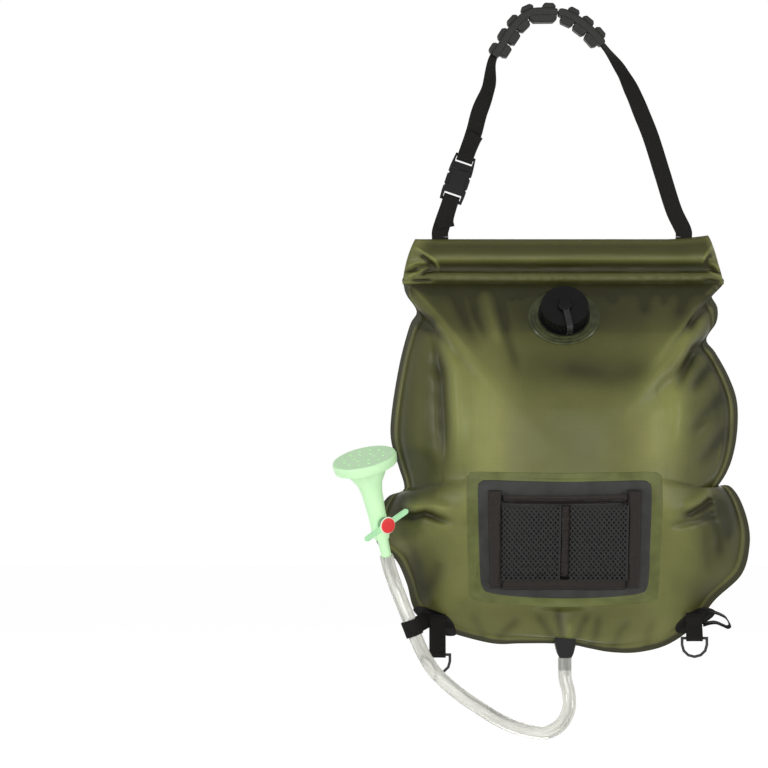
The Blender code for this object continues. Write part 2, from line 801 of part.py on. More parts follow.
def sleeve(name, points, surface):
    """A flat tube round the webbing along a line in X and Z."""
    mesh = bmesh.new()
    outers, inners = [], []
    for i, point in enumerate(points):
        before = (point - points[max(i - 1, 0)]).normalized()
        after = (points[min(i + 1, len(points) - 1)] - point).normalized()
        along = (before + after).normalized()
        normal = Vector((-along.z, 0, along.x))
        stretch = along.dot(after if after.length else before)
        for loops, half_y, half_n in (
            (outers, GRIP_WIDTH / 2, WEB_THICK / 2 + GRIP_SKIN),
            (inners, WEB_WIDTH / 2 + FIT_GAP, WEB_THICK / 2 + FIT_GAP),
        ):
            corners = []
            for side_y, side_n in ((1, 1), (1, -1), (-1, -1), (-1, 1)):
                spot = point + normal * (side_n * half_n / stretch) + Vector((0, side_y * half_y, 0))
                corners.append(mesh.verts.new(spot))
            loops.append(corners)
    for loops in (outers, inners):
        for first, second in zip(loops, loops[1:]):
            bridge(mesh, first, second)
    bridge(mesh, outers[0], inners[0])
    bridge(mesh, outers[-1], inners[-1])
    return add_mesh(name, mesh, surface)


def point_along(points, distance):
    """A point on a line and the line's direction there."""
    for first, second in zip(points, points[1:]):
        step = second - first
        if distance <= step.length or second == points[-1]:
            return first + step.normalized() * distance, step.normalized()
        distance -= step.length


def lug(grip, name, points, share, length, side, surface):
    """A block on the outside (+1) or the inside (-1) of the arch, joined to its sleeve."""
    total = sum((b - a).length for a, b in zip(points, points[1:]))
    middle, along = point_along(points, total * share)
    normal = Vector((-along.z, 0, along.x))
    if normal.z < 0 or (normal.z == 0 and along.x < 0):
        normal = -normal
    top = LUG_HEIGHT if side > 0 else GRIP_DROP
    foot = WEB_THICK / 2 + FIT_GAP + GRIP_SKIN / 2
    outline = []
    for reach, half in ((foot, length / 2), (top, length / 2 - LUG_SLOPE)):
        for sign in (1, -1) if reach == foot else (-1, 1):
            spot = middle + along * (sign * half) + normal * (side * reach)
            outline.append((spot.x, spot.z))
    half_y = GRIP_WIDTH / 2 - LUG_SLOPE / 4
    combine(grip, hide_cutter(prism(name, outline, -half_y, half_y, surface)), "UNION")


def build_grip(rubber):
    """Two moulded sleeves on the webbing with lugs outside and blocks inside."""
    line = grip_line()
    daylight = Vector((GRIP_SPLIT, 0, 0))
    right = [line[0].lerp(line[1], 1 / 6)] + line[1:5] + [line[4] - daylight]
    left = [line[4] - 2 * daylight] + line[5:-1] + [line[-1].lerp(line[-2], 1 / 6)]
    sleeves = (
        ("grip_sleeve_right", right, RIGHT_LUG_SHARES, RIGHT_BLOCK_SHARES),
        ("grip_sleeve_left", left, LEFT_LUG_SHARES, LEFT_BLOCK_SHARES),
    )
    for name, points, outer, inner in sleeves:
        grip = sleeve(name, points, rubber)
        for k, share in enumerate(outer):
            lug(grip, f"{name}_lug_{k}", points, share, LUG_LENGTH, 1, rubber)
        for k, share in enumerate(inner):
            lug(grip, f"{name}_block_{k}", points, share, BLOCK_LENGTH, -1, rubber)
        if name == "grip_sleeve_left":
            total = sum((b - a).length for a, b in zip(points, points[1:]))
            share = (LONG_BLOCK_LENGTH / 2) / total
            lug(grip, name + "_long_block", points, share, LONG_BLOCK_LENGTH, -1, rubber)


def build_buckle(black):
    """Side-release buckle: a housing, a male frame with its prong, and two latch arms."""
    place = buckle_place()
    half = BUCKLE_WIDTH / 2
    top = FEMALE_LENGTH / 2
    waist = half * 2 / 3
    cavity = BUCKLE_THICK / 2 - BUCKLE_WALL
    foot = female_bar_up() - BUCKLE_BAR / 2
    right = [
        (half, top), (half, top * 2 / 3), (waist, top / 2), (waist, -top / 4), (half, -top * 3 / 5),
        (half, -top), (half - BUCKLE_WALL / 2, foot),
    ]
    outline = right + [(-x, z) for x, z in right[::-1]]
    female = prism("buckle_female", outline, -BUCKLE_THICK / 2, BUCKLE_THICK / 2, black, place)
    low = (-half + BUCKLE_WALL, -cavity, -top * 3 / 5)
    high = (half - BUCKLE_WALL, cavity, top + OVERRUN)
    combine(female, hide_cutter(box("cavity_cutter", low, high, black, place)), "DIFFERENCE")
    web_half = WEB_WIDTH / 2 + 2 * FIT_GAP
    low = (-web_half, -BUCKLE_THICK, -top - BUCKLE_SLOT)
    high = (web_half, BUCKLE_THICK, -top)
    combine(female, hide_cutter(box("female_slot_cutter", low, high, black, place)), "DIFFERENCE")
    bar_half = cavity - FIT_GAP
    for name, low_y, high_y in (("front", -BUCKLE_THICK, -bar_half), ("back", bar_half, BUCKLE_THICK)):
        low = (-web_half, low_y, foot - OVERRUN)
        high = (web_half, high_y, -top - FIT_GAP)
        recess = hide_cutter(box(f"bar_{name}_cutter", low, high, black, place))
        combine(female, recess, "DIFFERENCE")

    rim = top + FIT_GAP
    shoulder = rim + MALE_BASE
    bar = male_bar_up() + BUCKLE_BAR / 2
    prong = PRONG_WIDTH / 2
    right = [
        (prong, -top / 2), (prong, rim), (half, rim), (half - BUCKLE_WALL / 2, shoulder),
        (web_half + BUCKLE_BAR / 2, bar),
    ]
    outline = right + [(-x, z) for x, z in right[::-1]]
    thick = cavity - FIT_GAP
    male = prism("buckle_male", outline, -thick, thick, black, place)
    low = (-web_half, -BUCKLE_THICK, shoulder)
    high = (web_half, BUCKLE_THICK, shoulder + BUCKLE_SLOT)
    combine(male, hide_cutter(box("male_slot_cutter", low, high, black, place)), "DIFFERENCE")

    inner = half - BUCKLE_WALL - FIT_GAP
    reach = top - ARM_LENGTH
    for side, sign in (("left", -1), ("right", 1)):
        root_x = inner - ARM_THICK / 2
        pivot = buckle_point(sign * root_x, 0, top)
        shape = [
            (-ARM_THICK / 2, 0), (ARM_THICK / 2, 0), (ARM_THICK / 2, -top / 2 + FIT_GAP),
            (half - root_x, -top / 2 - ARM_WIDTH / 3), (half - root_x, reach - top + ARM_WIDTH),
            (ARM_THICK / 4, reach - top), (-ARM_THICK / 4, reach - top + ARM_WIDTH),
            (-ARM_THICK / 2, -top / 2),
        ]
        turned_place = Matrix.Translation(pivot) @ Matrix.Rotation(BUCKLE_TILT, 4, "Y")
        outline = [(sign * x, z) for x, z in shape]
        prism(f"latch_arm_{side}", outline, -thick, thick, black, turned_place)


def cap_ceiling():
    return NECK_HEIGHT + SEAL_THICK + 2 * FIT_GAP


def build_filler(green, black):
    """Welded disc, threaded neck, and the knurled cap with its seal, boss, tether and ring."""
    place = filler_frame()
    squash = abs(front_normal(FILLER_X, filler_z()).y)
    outline = [(FILLER_X + a, filler_z() + b * squash) for a, b in round_outline(0, 0, DISC_RADIUS, 36)]
    disc = seated("filler_flange", outline, FIT_GAP, FIT_GAP + DISC_THICK, green)
    bore = NECK_RADIUS - NECK_WALL
    drill(disc, place, bore, COLLAR_RADIUS, green)

    shelf = DISC_THICK + 2 * FIT_GAP + COLLAR_THICK
    sunk = 4 * COLLAR_THICK
    thread = NECK_HEIGHT - 4 * THREAD_HEIGHT
    profile = (
        (bore, -sunk), (COLLAR_RADIUS, -sunk), (COLLAR_RADIUS, shelf), (NECK_RADIUS, shelf),
        (NECK_RADIUS, thread), (NECK_RADIUS + THREAD_HEIGHT, thread + THREAD_HEIGHT),
        (NECK_RADIUS, thread + 2 * THREAD_HEIGHT),
        (NECK_RADIUS, NECK_HEIGHT), (bore, NECK_HEIGHT),
    )
    neck = turned("filler_neck", profile, black, place)
    seat = DISC_THICK + 2 * FIT_GAP
    combine(neck, belly_block("filler_neck_seat_cutter", seat, black), "DIFFERENCE")

    ring_foot = shelf + FIT_GAP
    ring_top = ring_foot + RING_THICK
    ring_bore = NECK_RADIUS + THREAD_HEIGHT + FIT_GAP
    ring_reach = CAP_RADIUS + 2 * FIT_GAP + TETHER_THICK
    profile = (
        (ring_bore, ring_foot), (ring_reach, ring_foot), (ring_reach, ring_top), (ring_bore, ring_top),
    )
    turned("tether_ring", profile, black, place)

    ceiling = cap_ceiling()
    top = ceiling + CAP_WALL
    stem = BOSS_RADIUS / 2
    bore = NECK_RADIUS + THREAD_HEIGHT + FIT_GAP
    skirt = top - CAP_HEIGHT
    hole = stem + FIT_GAP
    profile = (
        (hole, top), (CAP_RADIUS, top), (CAP_RADIUS, skirt), (bore, skirt), (bore, ceiling), (hole, ceiling),
    )
    turned("filler_cap", profile, black, place, 72, KNURL_DEPTH)
    seal_top = ceiling - FIT_GAP
    seal_foot = seal_top - SEAL_THICK
    profile = ((0, seal_foot), (NECK_RADIUS, seal_foot), (NECK_RADIUS, seal_top), (0, seal_top))
    turned("cap_seal", profile, black, place, 24, None, False)

    crown = top + FIT_GAP
    profile = (
        (0, ceiling), (stem, ceiling), (stem, crown), (BOSS_RADIUS, crown),
        (BOSS_RADIUS, crown + BOSS_HEIGHT / 2),
        (BOSS_RADIUS * 3 / 4, crown + BOSS_HEIGHT), (0, crown + BOSS_HEIGHT),
    )
    turned("cap_boss", profile, black, place, 20, None, False)

    lean = math.radians(10)
    away = Vector((math.sin(lean), -math.cos(lean), 0))
    across = Vector((math.cos(lean), math.sin(lean), 0))
    high = crown + TETHER_THICK / 2
    outside = CAP_RADIUS + FIT_GAP + TETHER_THICK / 2
    path = ((BOSS_RADIUS + FIT_GAP, high), (outside, high), (outside, ring_top + FIT_GAP))
    turn = place.to_3x3()
    stations = [(place @ (away * radius + UP * height), turn @ across) for radius, height in path]
    ribbon("cap_tether", stations, TETHER_WIDTH, TETHER_THICK, black)


def rectangle(low_x, high_x, low_z, high_z):
    return [(low_x, low_z), (high_x, low_z), (high_x, high_z), (low_x, high_z)]


def net(name, low_x, high_x, low_z, high_z, columns, rows, proud, surface):
    """A flat net of diamond gaps that follows the bag's front."""
    mesh = bmesh.new()
    step_x = (high_x - low_x) / columns
    step_z = (high_z - low_z) / rows
    skins = []
    for lift in (proud + NET_THICK, proud):
        corner = {}
        for i in range(columns + 1):
            for k in range(rows + 1):
                corner[i, k] = mesh.verts.new(front_point(low_x + i * step_x, low_z + k * step_z, lift))
        gaps = {}
        for i in range(columns):
            for k in range(rows):
                x = low_x + (i + 1 / 2) * step_x
                z = low_z + (k + 1 / 2) * step_z
                reach_x = (step_x - NET_STRAND) / 2
                reach_z = (step_z - NET_STRAND) / 2
                tips = ((0, -reach_z), (reach_x, 0), (0, reach_z), (-reach_x, 0))
                gap = [mesh.verts.new(front_point(x + a, z + b, lift)) for a, b in tips]
                ring = (corner[i, k], corner[i + 1, k], corner[i + 1, k + 1], corner[i, k + 1])
                for n in range(4):
                    mesh.faces.new((ring[n], ring[(n + 1) % 4], gap[n]))
                    mesh.faces.new((ring[(n + 1) % 4], gap[(n + 1) % 4], gap[n]))
                gaps[i, k] = gap
        skins.append((corner, gaps))
    (front, front_gaps), (back, back_gaps) = skins
    for key in front_gaps:
        bridge(mesh, front_gaps[key], back_gaps[key])
    rim = [(i, 0) for i in range(columns)] + [(columns, k) for k in range(rows)]
    rim += [(i, rows) for i in range(columns, 0, -1)] + [(0, k) for k in range(rows, 0, -1)]
    bridge(mesh, [front[key] for key in rim], [back[key] for key in rim])
    return add_mesh(name, mesh, surface)


def build_pocket(backing, cloth):
    """Rubbery backing with two mesh pockets, bound and divided by tape."""
    pocket_z = bag_foot() + POCKET_RISE
    outline = rounded_rectangle(POCKET_X, pocket_z, PAD_WIDTH, PAD_HEIGHT, PAD_CORNER, PAD_BOW)
    seated("pocket_panel", outline, FIT_GAP, FIT_GAP + PAD_THICK, backing)
    seat = PAD_THICK + 2 * FIT_GAP
    behind = seat + POCKET_SLACK
    face = behind + NET_THICK + NET_LIFT
    left = POCKET_X - PAD_WIDTH / 2 + FRAME_SIDE
    right = POCKET_X + PAD_WIDTH / 2 - FRAME_SIDE
    low = pocket_z - PAD_HEIGHT / 2 + FRAME_END
    high = pocket_z + PAD_HEIGHT / 2 - FRAME_END
    seated("pocket_binding_left", rectangle(left, left + BINDING_WIDTH, low, high), seat, face, cloth)
    seated("pocket_binding_right", rectangle(right - BINDING_WIDTH, right, low, high), seat, face, cloth)
    inner_left = left + BINDING_WIDTH + FIT_GAP
    inner_right = right - BINDING_WIDTH - FIT_GAP
    foot = low + HEM_WIDTH
    hem = high - HEM_WIDTH
    seated("pocket_hem_bottom", rectangle(inner_left, inner_right, low, foot), seat, face, cloth)
    seated("pocket_hem_top", rectangle(inner_left, inner_right, hem, high), behind, face, cloth)
    half = DIVIDER_WIDTH / 2
    tall = (foot + FIT_GAP, hem - FIT_GAP)
    seated("pocket_divider", rectangle(POCKET_X - half, POCKET_X + half, *tall), seat, face, cloth)
    middle = half + FIT_GAP
    spans = (("left", inner_left, POCKET_X - middle), ("right", POCKET_X + middle, inner_right))
    for side, low_x, high_x in spans:
        net(f"pocket_net_{side}", low_x, high_x, *tall, NET_COLUMNS, NET_ROWS, behind, cloth)


def build_outlet(green, black):
    """Welded disc, the elbow hood that turns the water down, and its ribbed barb."""
    place = outlet_frame()
    disc = seated("outlet_flange", round_outline(OUTLET_X, outlet_z(), OUTLET_DISC_RADIUS), FIT_GAP,
                  FIT_GAP + OUTLET_DISC_THICK, green)
    drill(disc, place, BARB_RADIUS + FIT_GAP, OUTLET_DISC_RADIUS, green, 16)
    half = HOOD_WIDTH / 2
    top = outlet_z() + HOOD_RISE
    foot = outlet_z() - HOOD_FALL
    front = seam_y(outlet_z()) - HOOD_FRONT
    back = seam_y(outlet_z()) - HOOD_BACK
    shape = [
        (half - HOOD_CORNER, top), (half, top - HOOD_CORNER), (half, foot + 3 * HOOD_CORNER),
        (half - HOOD_CORNER / 2, foot + HOOD_CORNER), (half - HOOD_CORNER, foot),
    ]
    outline = [(OUTLET_X + x, z) for x, z in shape] + [(OUTLET_X - x, z) for x, z in shape[::-1]]
    hood = prism("outlet_hood", outline, front, back, black)
    seat = 2 * FIT_GAP + OUTLET_DISC_THICK
    combine(hood, belly_block("outlet_hood_seat_cutter", seat, black), "DIFFERENCE")
    drill(hood, barb_frame(), BARB_BORE, HOOD_FALL, black, 12)
    drill(hood, place, BARB_BORE, HOOD_FRONT / 4, black, 12)
    profile = [(BARB_BORE, 0), (BARB_RADIUS, 0)]
    pitch = BARB_LENGTH / (BARB_COUNT + 1)
    for k in range(BARB_COUNT):
        start = pitch * (k + 1 / 2)
        profile += [(BARB_RADIUS, start), (BARB_RADIUS + BARB_RIDGE, start), (BARB_RADIUS, start + pitch)]
    profile += [(BARB_RADIUS, BARB_LENGTH), (BARB_BORE, BARB_LENGTH)]
    turned("outlet_barb", profile, black, barb_frame(FIT_GAP), 16)


def barb_frame(below=0.0):
    """Z runs down out of the hood's foot."""
    middle = seam_y(outlet_z()) - (HOOD_FRONT + HOOD_BACK) / 2
    return frame_at(Vector((OUTLET_X, middle, outlet_z() - HOOD_FALL - below)), -UP, FRONT)


# The hose from the outlet's barb round to the shower head's spigot
HOSE_POINTS = (
    (0.0216, -0.0030, -0.7805), (0.0220, -0.0032, -0.7900), (0.0262, -0.0050, -0.8080),
    (0.0262, -0.0085, -0.8260), (0.0170, -0.0120, -0.8440), (0.0000, -0.0150, -0.8540),
    (-0.0204, -0.0175, -0.8525), (-0.0420, -0.0190, -0.8460), (-0.0612, -0.0200, -0.8370),
    (-0.0820, -0.0205, -0.8240), (-0.1020, -0.0210, -0.8105), (-0.1210, -0.0215, -0.7950),
    (-0.1370, -0.0220, -0.7790), (-0.1490, -0.0225, -0.7600), (-0.1590, -0.0230, -0.7380),
    (-0.1670, -0.0230, -0.7170), (-0.1755, -0.0225, -0.6960), (-0.1840, -0.0225, -0.6740),
    (-0.1900, -0.0258, -0.6560), (-0.1939, -0.0312, -0.6404),
)


def smooth_line(points, steps):
    """Read a smooth curve through the points, steps to each stretch."""
    spots = [Vector(point) for point in points]
    ends = [2 * spots[0] - spots[1]] + spots + [2 * spots[-1] - spots[-2]]
    line = []
    for a, b, c, d in zip(ends, ends[1:], ends[2:], ends[3:]):
        for i in range(steps):
            t = i / steps
            line.append((2 * b + (c - a) * t + (2 * a - 5 * b + 4 * c - d) * t ** 2
                         + (3 * b - a - 3 * c + d) * t ** 3) / 2)
    return line + [spots[-1]]


def build_hose(clear):
    line = smooth_line(hose_route(), 2)
    curve = bpy.data.curves.new("hose", "CURVE")
    curve.dimensions = "3D"
    curve.bevel_depth = HOSE_DIAMETER / 2
    curve.bevel_resolution = 3
    curve.use_fill_caps = True
    spline = curve.splines.new("POLY")
    spline.points.add(len(line) - 1)
    for spot, point in zip(spline.points, line):
        spot.co = (*point, 1)
    curve.materials.append(clear)
    bpy.context.collection.objects.link(bpy.data.objects.new("hose", curve))


def head_up():
    return Vector(HEAD_LEAN_SHARES).normalized()


def head_frame():
    """Z up the stem, -Y along the valve's plug towards its button."""
    turn = math.radians(VALVE_TURN)
    towards = Vector((math.sin(turn), -math.cos(turn), 0))
    return frame_at(Vector((HEAD_X, HEAD_Y, HEAD_Z)) + hose_shift(), head_up(), towards)


def build_head(mint, red, black):
    """Rose on a trumpet stem, with a plug valve, its lever and its red button."""
    place = head_frame()
    across = place @ Matrix.Rotation(math.radians(90), 4, "X")
    hub = 2 * VALVE_RADIUS
    ledge = ROSE_TOP - FACE_THICK - FIT_GAP
    rim_foot = ROSE_TOP - ROSE_RIM
    bore = SPIGOT_RADIUS - HEAD_WALL
    profile = (
        (SPIGOT_RADIUS, -SPIGOT_END), (SPIGOT_RADIUS + BARB_RIDGE / 2, -SPIGOT_TOP),
        ((SPIGOT_RADIUS + STEM_WAIST) / 2, -SPIGOT_TOP), (STEM_WAIST, -hub), (STEM_WAIST, hub),
        (STEM_RADIUS, NECK_TOP * 3 / 4), (STEM_RADIUS + HEAD_WALL, NECK_TOP),
        (ROSE_RADIUS * 2 / 3, rim_foot - HEAD_WALL), (ROSE_RADIUS - HEAD_WALL / 2, rim_foot + HEAD_WALL / 2),
        (ROSE_RADIUS, ROSE_TOP - HEAD_WALL), (ROSE_RADIUS - HEAD_WALL / 2, ROSE_TOP),
        (ROSE_RADIUS - HEAD_WALL, ROSE_TOP), (ROSE_RADIUS - HEAD_WALL, ledge),
        (ROSE_RADIUS - 2 * HEAD_WALL, ledge),
        (ROSE_RADIUS - 2 * HEAD_WALL, rim_foot + HEAD_WALL), (ROSE_RADIUS * 2 / 3, rim_foot + HEAD_WALL / 2),
        (STEM_RADIUS, NECK_TOP + HEAD_WALL), (STEM_RADIUS - HEAD_WALL, NECK_TOP * 3 / 4),
        (STEM_WAIST - HEAD_WALL, hub + HEAD_WALL), (VALVE_PORT, hub), (VALVE_PORT, -hub), (bore, -SPIGOT_TOP),
        (bore, -SPIGOT_END),
    )
    body = turned("head_body", profile, mint, place)
    blind = STEM_WAIST - HEAD_WALL
    socket = VALVE_RADIUS + FIT_GAP
    mouth = STEM_WAIST + OVERRUN
    hole = ((0, -blind), (socket, -blind), (socket, mouth), (0, mouth))
    cutter = turned("valve_socket_cutter", hole, mint, across, 24, None, False)
    combine(body, hide_cutter(cutter), "DIFFERENCE")

    face_radius = ROSE_RADIUS - HEAD_WALL - FIT_GAP
    profile = ((0, ledge + FIT_GAP), (face_radius, ledge + FIT_GAP), (face_radius, ROSE_TOP), (0, ROSE_TOP))
    face = turned("head_face", profile, mint, place, 24, None, False)
    for ring, count in ((face_radius / 3, FACE_HOLES // 2), (face_radius * 2 / 3, FACE_HOLES)):
        for k in range(count):
            turn = 2 * math.pi * (k + 1 / 3) / count
            spot = Matrix.Translation((ring * math.cos(turn), ring * math.sin(turn), ROSE_TOP))
            drill(face, place @ spot, FACE_HOLE_RADIUS, 2 * FACE_THICK, mint, 6)

    button_back = VALVE_REACH - BUTTON_THICK
    lever_front = button_back - FIT_GAP
    lever_back = lever_front - LEVER_THICK
    plug_end = -blind + FIT_GAP
    profile = ((0, plug_end), (VALVE_RADIUS, plug_end), (VALVE_RADIUS, lever_front), (0, lever_front))
    plug = turned("valve_plug", profile, mint, across, 24, None, False)
    half = LEVER_WIDTH / 2
    wing = LEVER_HALF_LENGTH - half
    tilt = math.radians(LEVER_TILT)
    outline = [(x + wing, z) for x, z in arc((0, 0), half, -90, 90, 4)]
    outline += [(x - wing, z) for x, z in arc((0, 0), half, 90, 270, 4)]
    lean = place @ Matrix.Rotation(-tilt, 4, "Y")
    combine(plug, hide_cutter(prism("lever_wings", outline, -lever_front, -lever_back, mint, lean)), "UNION")
    drill(plug, place, VALVE_PORT, 2 * VALVE_RADIUS, mint, 12)

    profile = ((0, button_back), (BUTTON_RADIUS, button_back), (BUTTON_RADIUS, VALVE_REACH - FIT_GAP),
               (BUTTON_RADIUS * 3 / 4, VALVE_REACH), (0, VALVE_REACH))
    turned("valve_button", profile, red, across, 24, None, False)
    washer = ((socket, STEM_WAIST + FIT_GAP), (BUTTON_RADIUS, STEM_WAIST + FIT_GAP),
              (BUTTON_RADIUS, lever_back - FIT_GAP), (socket, lever_back - FIT_GAP))
    turned("valve_seal", washer, black, across)


def closed_tube(name, points, radius, surface, place, sides=8):
    """A round wire bent into a closed loop in X and Z."""
    mesh = bmesh.new()
    loops = []
    count = len(points)
    for i in range(count):
        spot = Vector((points[i][0], 0, points[i][1]))
        before = (spot - Vector((points[i - 1][0], 0, points[i - 1][1]))).normalized()
        following = points[(i + 1) % count]
        after = (Vector((following[0], 0, following[1])) - spot).normalized()
        along = (before + after).normalized()
        normal = Vector((-along.z, 0, along.x)) / along.dot(after)
        loop = []
        for k in range(sides):
            turn = 2 * math.pi * (k + 1 / 2) / sides
            corner = normal * (radius * math.cos(turn)) + Vector((0, radius * math.sin(turn), 0))
            loop.append(mesh.verts.new(spot + corner))
        loops.append(loop)
    for first, second in zip(loops, loops[1:] + loops[:1]):
        bridge(mesh, first, second)
    return add_mesh(name, mesh, surface, place, math.radians(50))


def d_ring(name, bar, surface):
    """A D-ring whose straight bar is its origin; it hangs below it."""
    shape = [(D_RING_HALF, 0), (D_RING_HALF, -D_RING_SIDE)]
    bend = D_RING_DROP - D_RING_SIDE
    for turn in (-30, -60, -90, -120, -150):
        angle = math.radians(turn)
        shape.append((D_RING_HALF * math.cos(angle), -D_RING_SIDE + bend * math.sin(angle)))
    shape += [(-D_RING_HALF, -D_RING_SIDE), (-D_RING_HALF, 0)]
    closed_tube(name, shape, RING_WIRE / 2, surface, Matrix.Translation(bar))


def ring_bar(patch_x, patch_z, drop):
    height = patch_z - drop
    return Vector((patch_x, seam_y(height) - TAB_STAND, height))


def ring_tab(name, patch_x, patch_z, drop, surface):
    """Webbing from the patch down in front, round the D-ring's bar and up behind."""
    stand = 5 * FIT_GAP + PATCH_THICK + WEB_THICK / 2
    flat = Vector((1, 0, 0))
    bar = ring_bar(patch_x, patch_z, drop)
    reach = (RING_WIRE + WEB_THICK) / 2 + FIT_GAP
    start = patch_z - TAB_START
    path = [strap_point(patch_x, start - WEB_WIDTH * share, stand) for share in (0, 1 / 3)]
    rise = (path[-1] - bar - FRONT * reach).normalized()
    front = Vector((0, -rise.z, rise.y))
    path.append(bar + (front + rise) * reach)
    corner = reach / math.cos(math.radians(45 / 2))
    for k in range(5):
        turn = math.radians(45 * (k + 1 / 2))
        path.append(bar + (front * math.cos(turn) - rise * math.sin(turn)) * corner)
    near = bar + front * (reach - WEB_THICK - FIT_GAP)
    path += [near + rise * (3 * reach), near + rise * (4 * reach)]
    ribbon(name, [(point, flat) for point in path], WEB_WIDTH, WEB_THICK, surface)


def hose_loop(surface):
    """A strap loop that holds the hose to the left patch."""
    line = hose_route()
    middle = (line[HOSE_LOOP_POINT] + line[HOSE_LOOP_POINT + 1]) / 2
    along = (line[HOSE_LOOP_POINT + 1] - line[HOSE_LOOP_POINT]).normalized()
    patch_x, patch_z = corner_set("left")
    spot = (patch_x - WEB_WIDTH / 2 - LOOP_ASIDE, patch_z - LOOP_BELOW)
    anchor = front_point(*spot, PATCH_THICK + WEB_THICK + 3 * FIT_GAP)
    inward = anchor - middle
    inward = inward - along * inward.dot(along)
    length = inward.length
    inward.normalize()
    side = along.cross(inward)
    reach = (HOSE_DIAMETER + WEB_THICK) / 2 + FIT_GAP
    corner = reach / math.cos(math.radians(45 / 2))
    apart = (WEB_THICK + FIT_GAP) / 2
    path = [(length, apart), (reach + WEB_THICK, apart)]
    for k in range(7):
        turn = math.radians(45 + 45 * k)
        path.append((corner * math.cos(turn), corner * math.sin(turn)))
    path += [(reach + WEB_THICK, -apart), (length, -apart)]
    stations = [(middle + inward * a + side * b, along) for a, b in path]
    ribbon("hose_loop", stations, WEB_WIDTH, WEB_THICK, surface)


def spare_loop(surface):
    """An empty strap loop that stands out to the right of the right patch."""
    patch_x, patch_z = corner_set("right")
    height = patch_z - LOOP_BELOW
    start = patch_x + WEB_WIDTH / 2 + 3 * FIT_GAP
    proud = PATCH_THICK + WEB_THICK / 2 + 2 * FIT_GAP
    back = min(front_y(start, height + side * WEB_WIDTH / 2, proud) for side in (-1, 0, 1))
    front = back - LOOP_ROOM - WEB_THICK
    end = start + LOOP_REACH
    near = back - WEB_THICK - FIT_GAP
    path = [(start, near), (start + LOOP_ROOM, near), (end - LOOP_ROOM, front), (end, (front + back) / 2),
            (end - LOOP_ROOM, back), (start, back)]
    stations = [(Vector((x, y, height)), UP) for x, y in path]
    ribbon("spare_loop", stations, WEB_WIDTH, WEB_THICK, surface)


def build_corners(black, webbing):
    """At each lower corner: a welded patch, a webbing tab with its D-ring, and a strap loop."""
    for side, drop in (("left", LEFT_TAB_DROP), ("right", RIGHT_TAB_DROP)):
        x, z = corner_set(side)
        seated(f"patch_{side}", round_outline(x, z, PATCH_RADIUS), FIT_GAP, FIT_GAP + PATCH_THICK, black)
        ring_tab(f"ring_tab_{side}", x, z, drop, webbing)
        d_ring(f"d_ring_{side}", ring_bar(x, z, drop), black)
    hose_loop(webbing)
    spare_loop(webbing)


def main():
    clear_scene()
    olive = fabric_material()
    webbing = webbing_material()
    black = buckle_material()
    green = weld_material()
    mint = mint_material()
    build_panels(olive)
    build_header(olive)
    build_rod(rod_material())
    build_strap_roots(webbing)
    build_webbing(webbing)
    build_grip(rubber_material())
    build_buckle(black)
    build_filler(green, black)
    build_pocket(backing_material(), binding_material())
    build_outlet(green, black)
    build_hose(hose_material())
    build_head(mint, red_material(), black)
    build_corners(black, webbing)
    bpy.context.view_layer.update()


main()
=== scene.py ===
"""Looks of the camp shower bag: fabric, webbing, moulded parts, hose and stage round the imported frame."""
import json
import math

import bmesh
import bpy
import numpy as np
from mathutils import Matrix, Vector, noise
from mathutils.bvhtree import BVHTree

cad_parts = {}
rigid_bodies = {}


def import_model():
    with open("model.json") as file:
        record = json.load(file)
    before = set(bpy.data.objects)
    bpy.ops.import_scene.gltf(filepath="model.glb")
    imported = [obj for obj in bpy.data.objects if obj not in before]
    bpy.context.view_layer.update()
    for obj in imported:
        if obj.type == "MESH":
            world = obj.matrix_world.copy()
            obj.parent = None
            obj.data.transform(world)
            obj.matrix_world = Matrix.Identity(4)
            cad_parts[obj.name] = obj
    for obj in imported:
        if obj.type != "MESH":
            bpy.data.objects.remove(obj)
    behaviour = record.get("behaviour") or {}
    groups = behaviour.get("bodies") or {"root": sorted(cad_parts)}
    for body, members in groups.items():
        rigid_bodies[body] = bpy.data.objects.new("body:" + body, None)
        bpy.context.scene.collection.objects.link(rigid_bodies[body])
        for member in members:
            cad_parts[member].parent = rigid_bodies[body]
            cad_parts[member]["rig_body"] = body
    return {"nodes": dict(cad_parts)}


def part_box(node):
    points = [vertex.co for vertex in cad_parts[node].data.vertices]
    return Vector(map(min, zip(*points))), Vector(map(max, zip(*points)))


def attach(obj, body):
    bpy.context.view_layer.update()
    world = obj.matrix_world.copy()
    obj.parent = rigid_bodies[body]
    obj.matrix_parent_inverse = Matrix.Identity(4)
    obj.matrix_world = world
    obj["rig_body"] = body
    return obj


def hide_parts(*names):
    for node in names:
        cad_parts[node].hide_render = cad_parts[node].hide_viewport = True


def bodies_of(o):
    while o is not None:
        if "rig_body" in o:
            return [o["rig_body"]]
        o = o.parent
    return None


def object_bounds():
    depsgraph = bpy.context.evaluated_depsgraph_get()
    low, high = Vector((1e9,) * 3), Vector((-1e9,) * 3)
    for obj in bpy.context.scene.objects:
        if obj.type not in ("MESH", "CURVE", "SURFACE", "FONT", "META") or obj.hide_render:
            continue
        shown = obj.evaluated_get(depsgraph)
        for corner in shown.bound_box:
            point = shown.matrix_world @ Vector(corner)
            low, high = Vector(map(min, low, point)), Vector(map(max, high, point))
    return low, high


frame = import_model()
CAD_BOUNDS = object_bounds()

bl_info = {
    "name": "Camp shower bag",
    "version": (1, 0, 0),
    "blender": (4, 5, 0),
    "location": "View3D > Sidebar > Shower bag",
    "description": "Makes the looks of a hanging camp shower bag round its packed frame",
    "category": "Object",
}

# The frame's origin in the photograph, the photograph's width, and metres for each of its pixels
ORIGIN = (548, 22)
PHOTO_WIDTH = 768
PIXEL = 0.0012
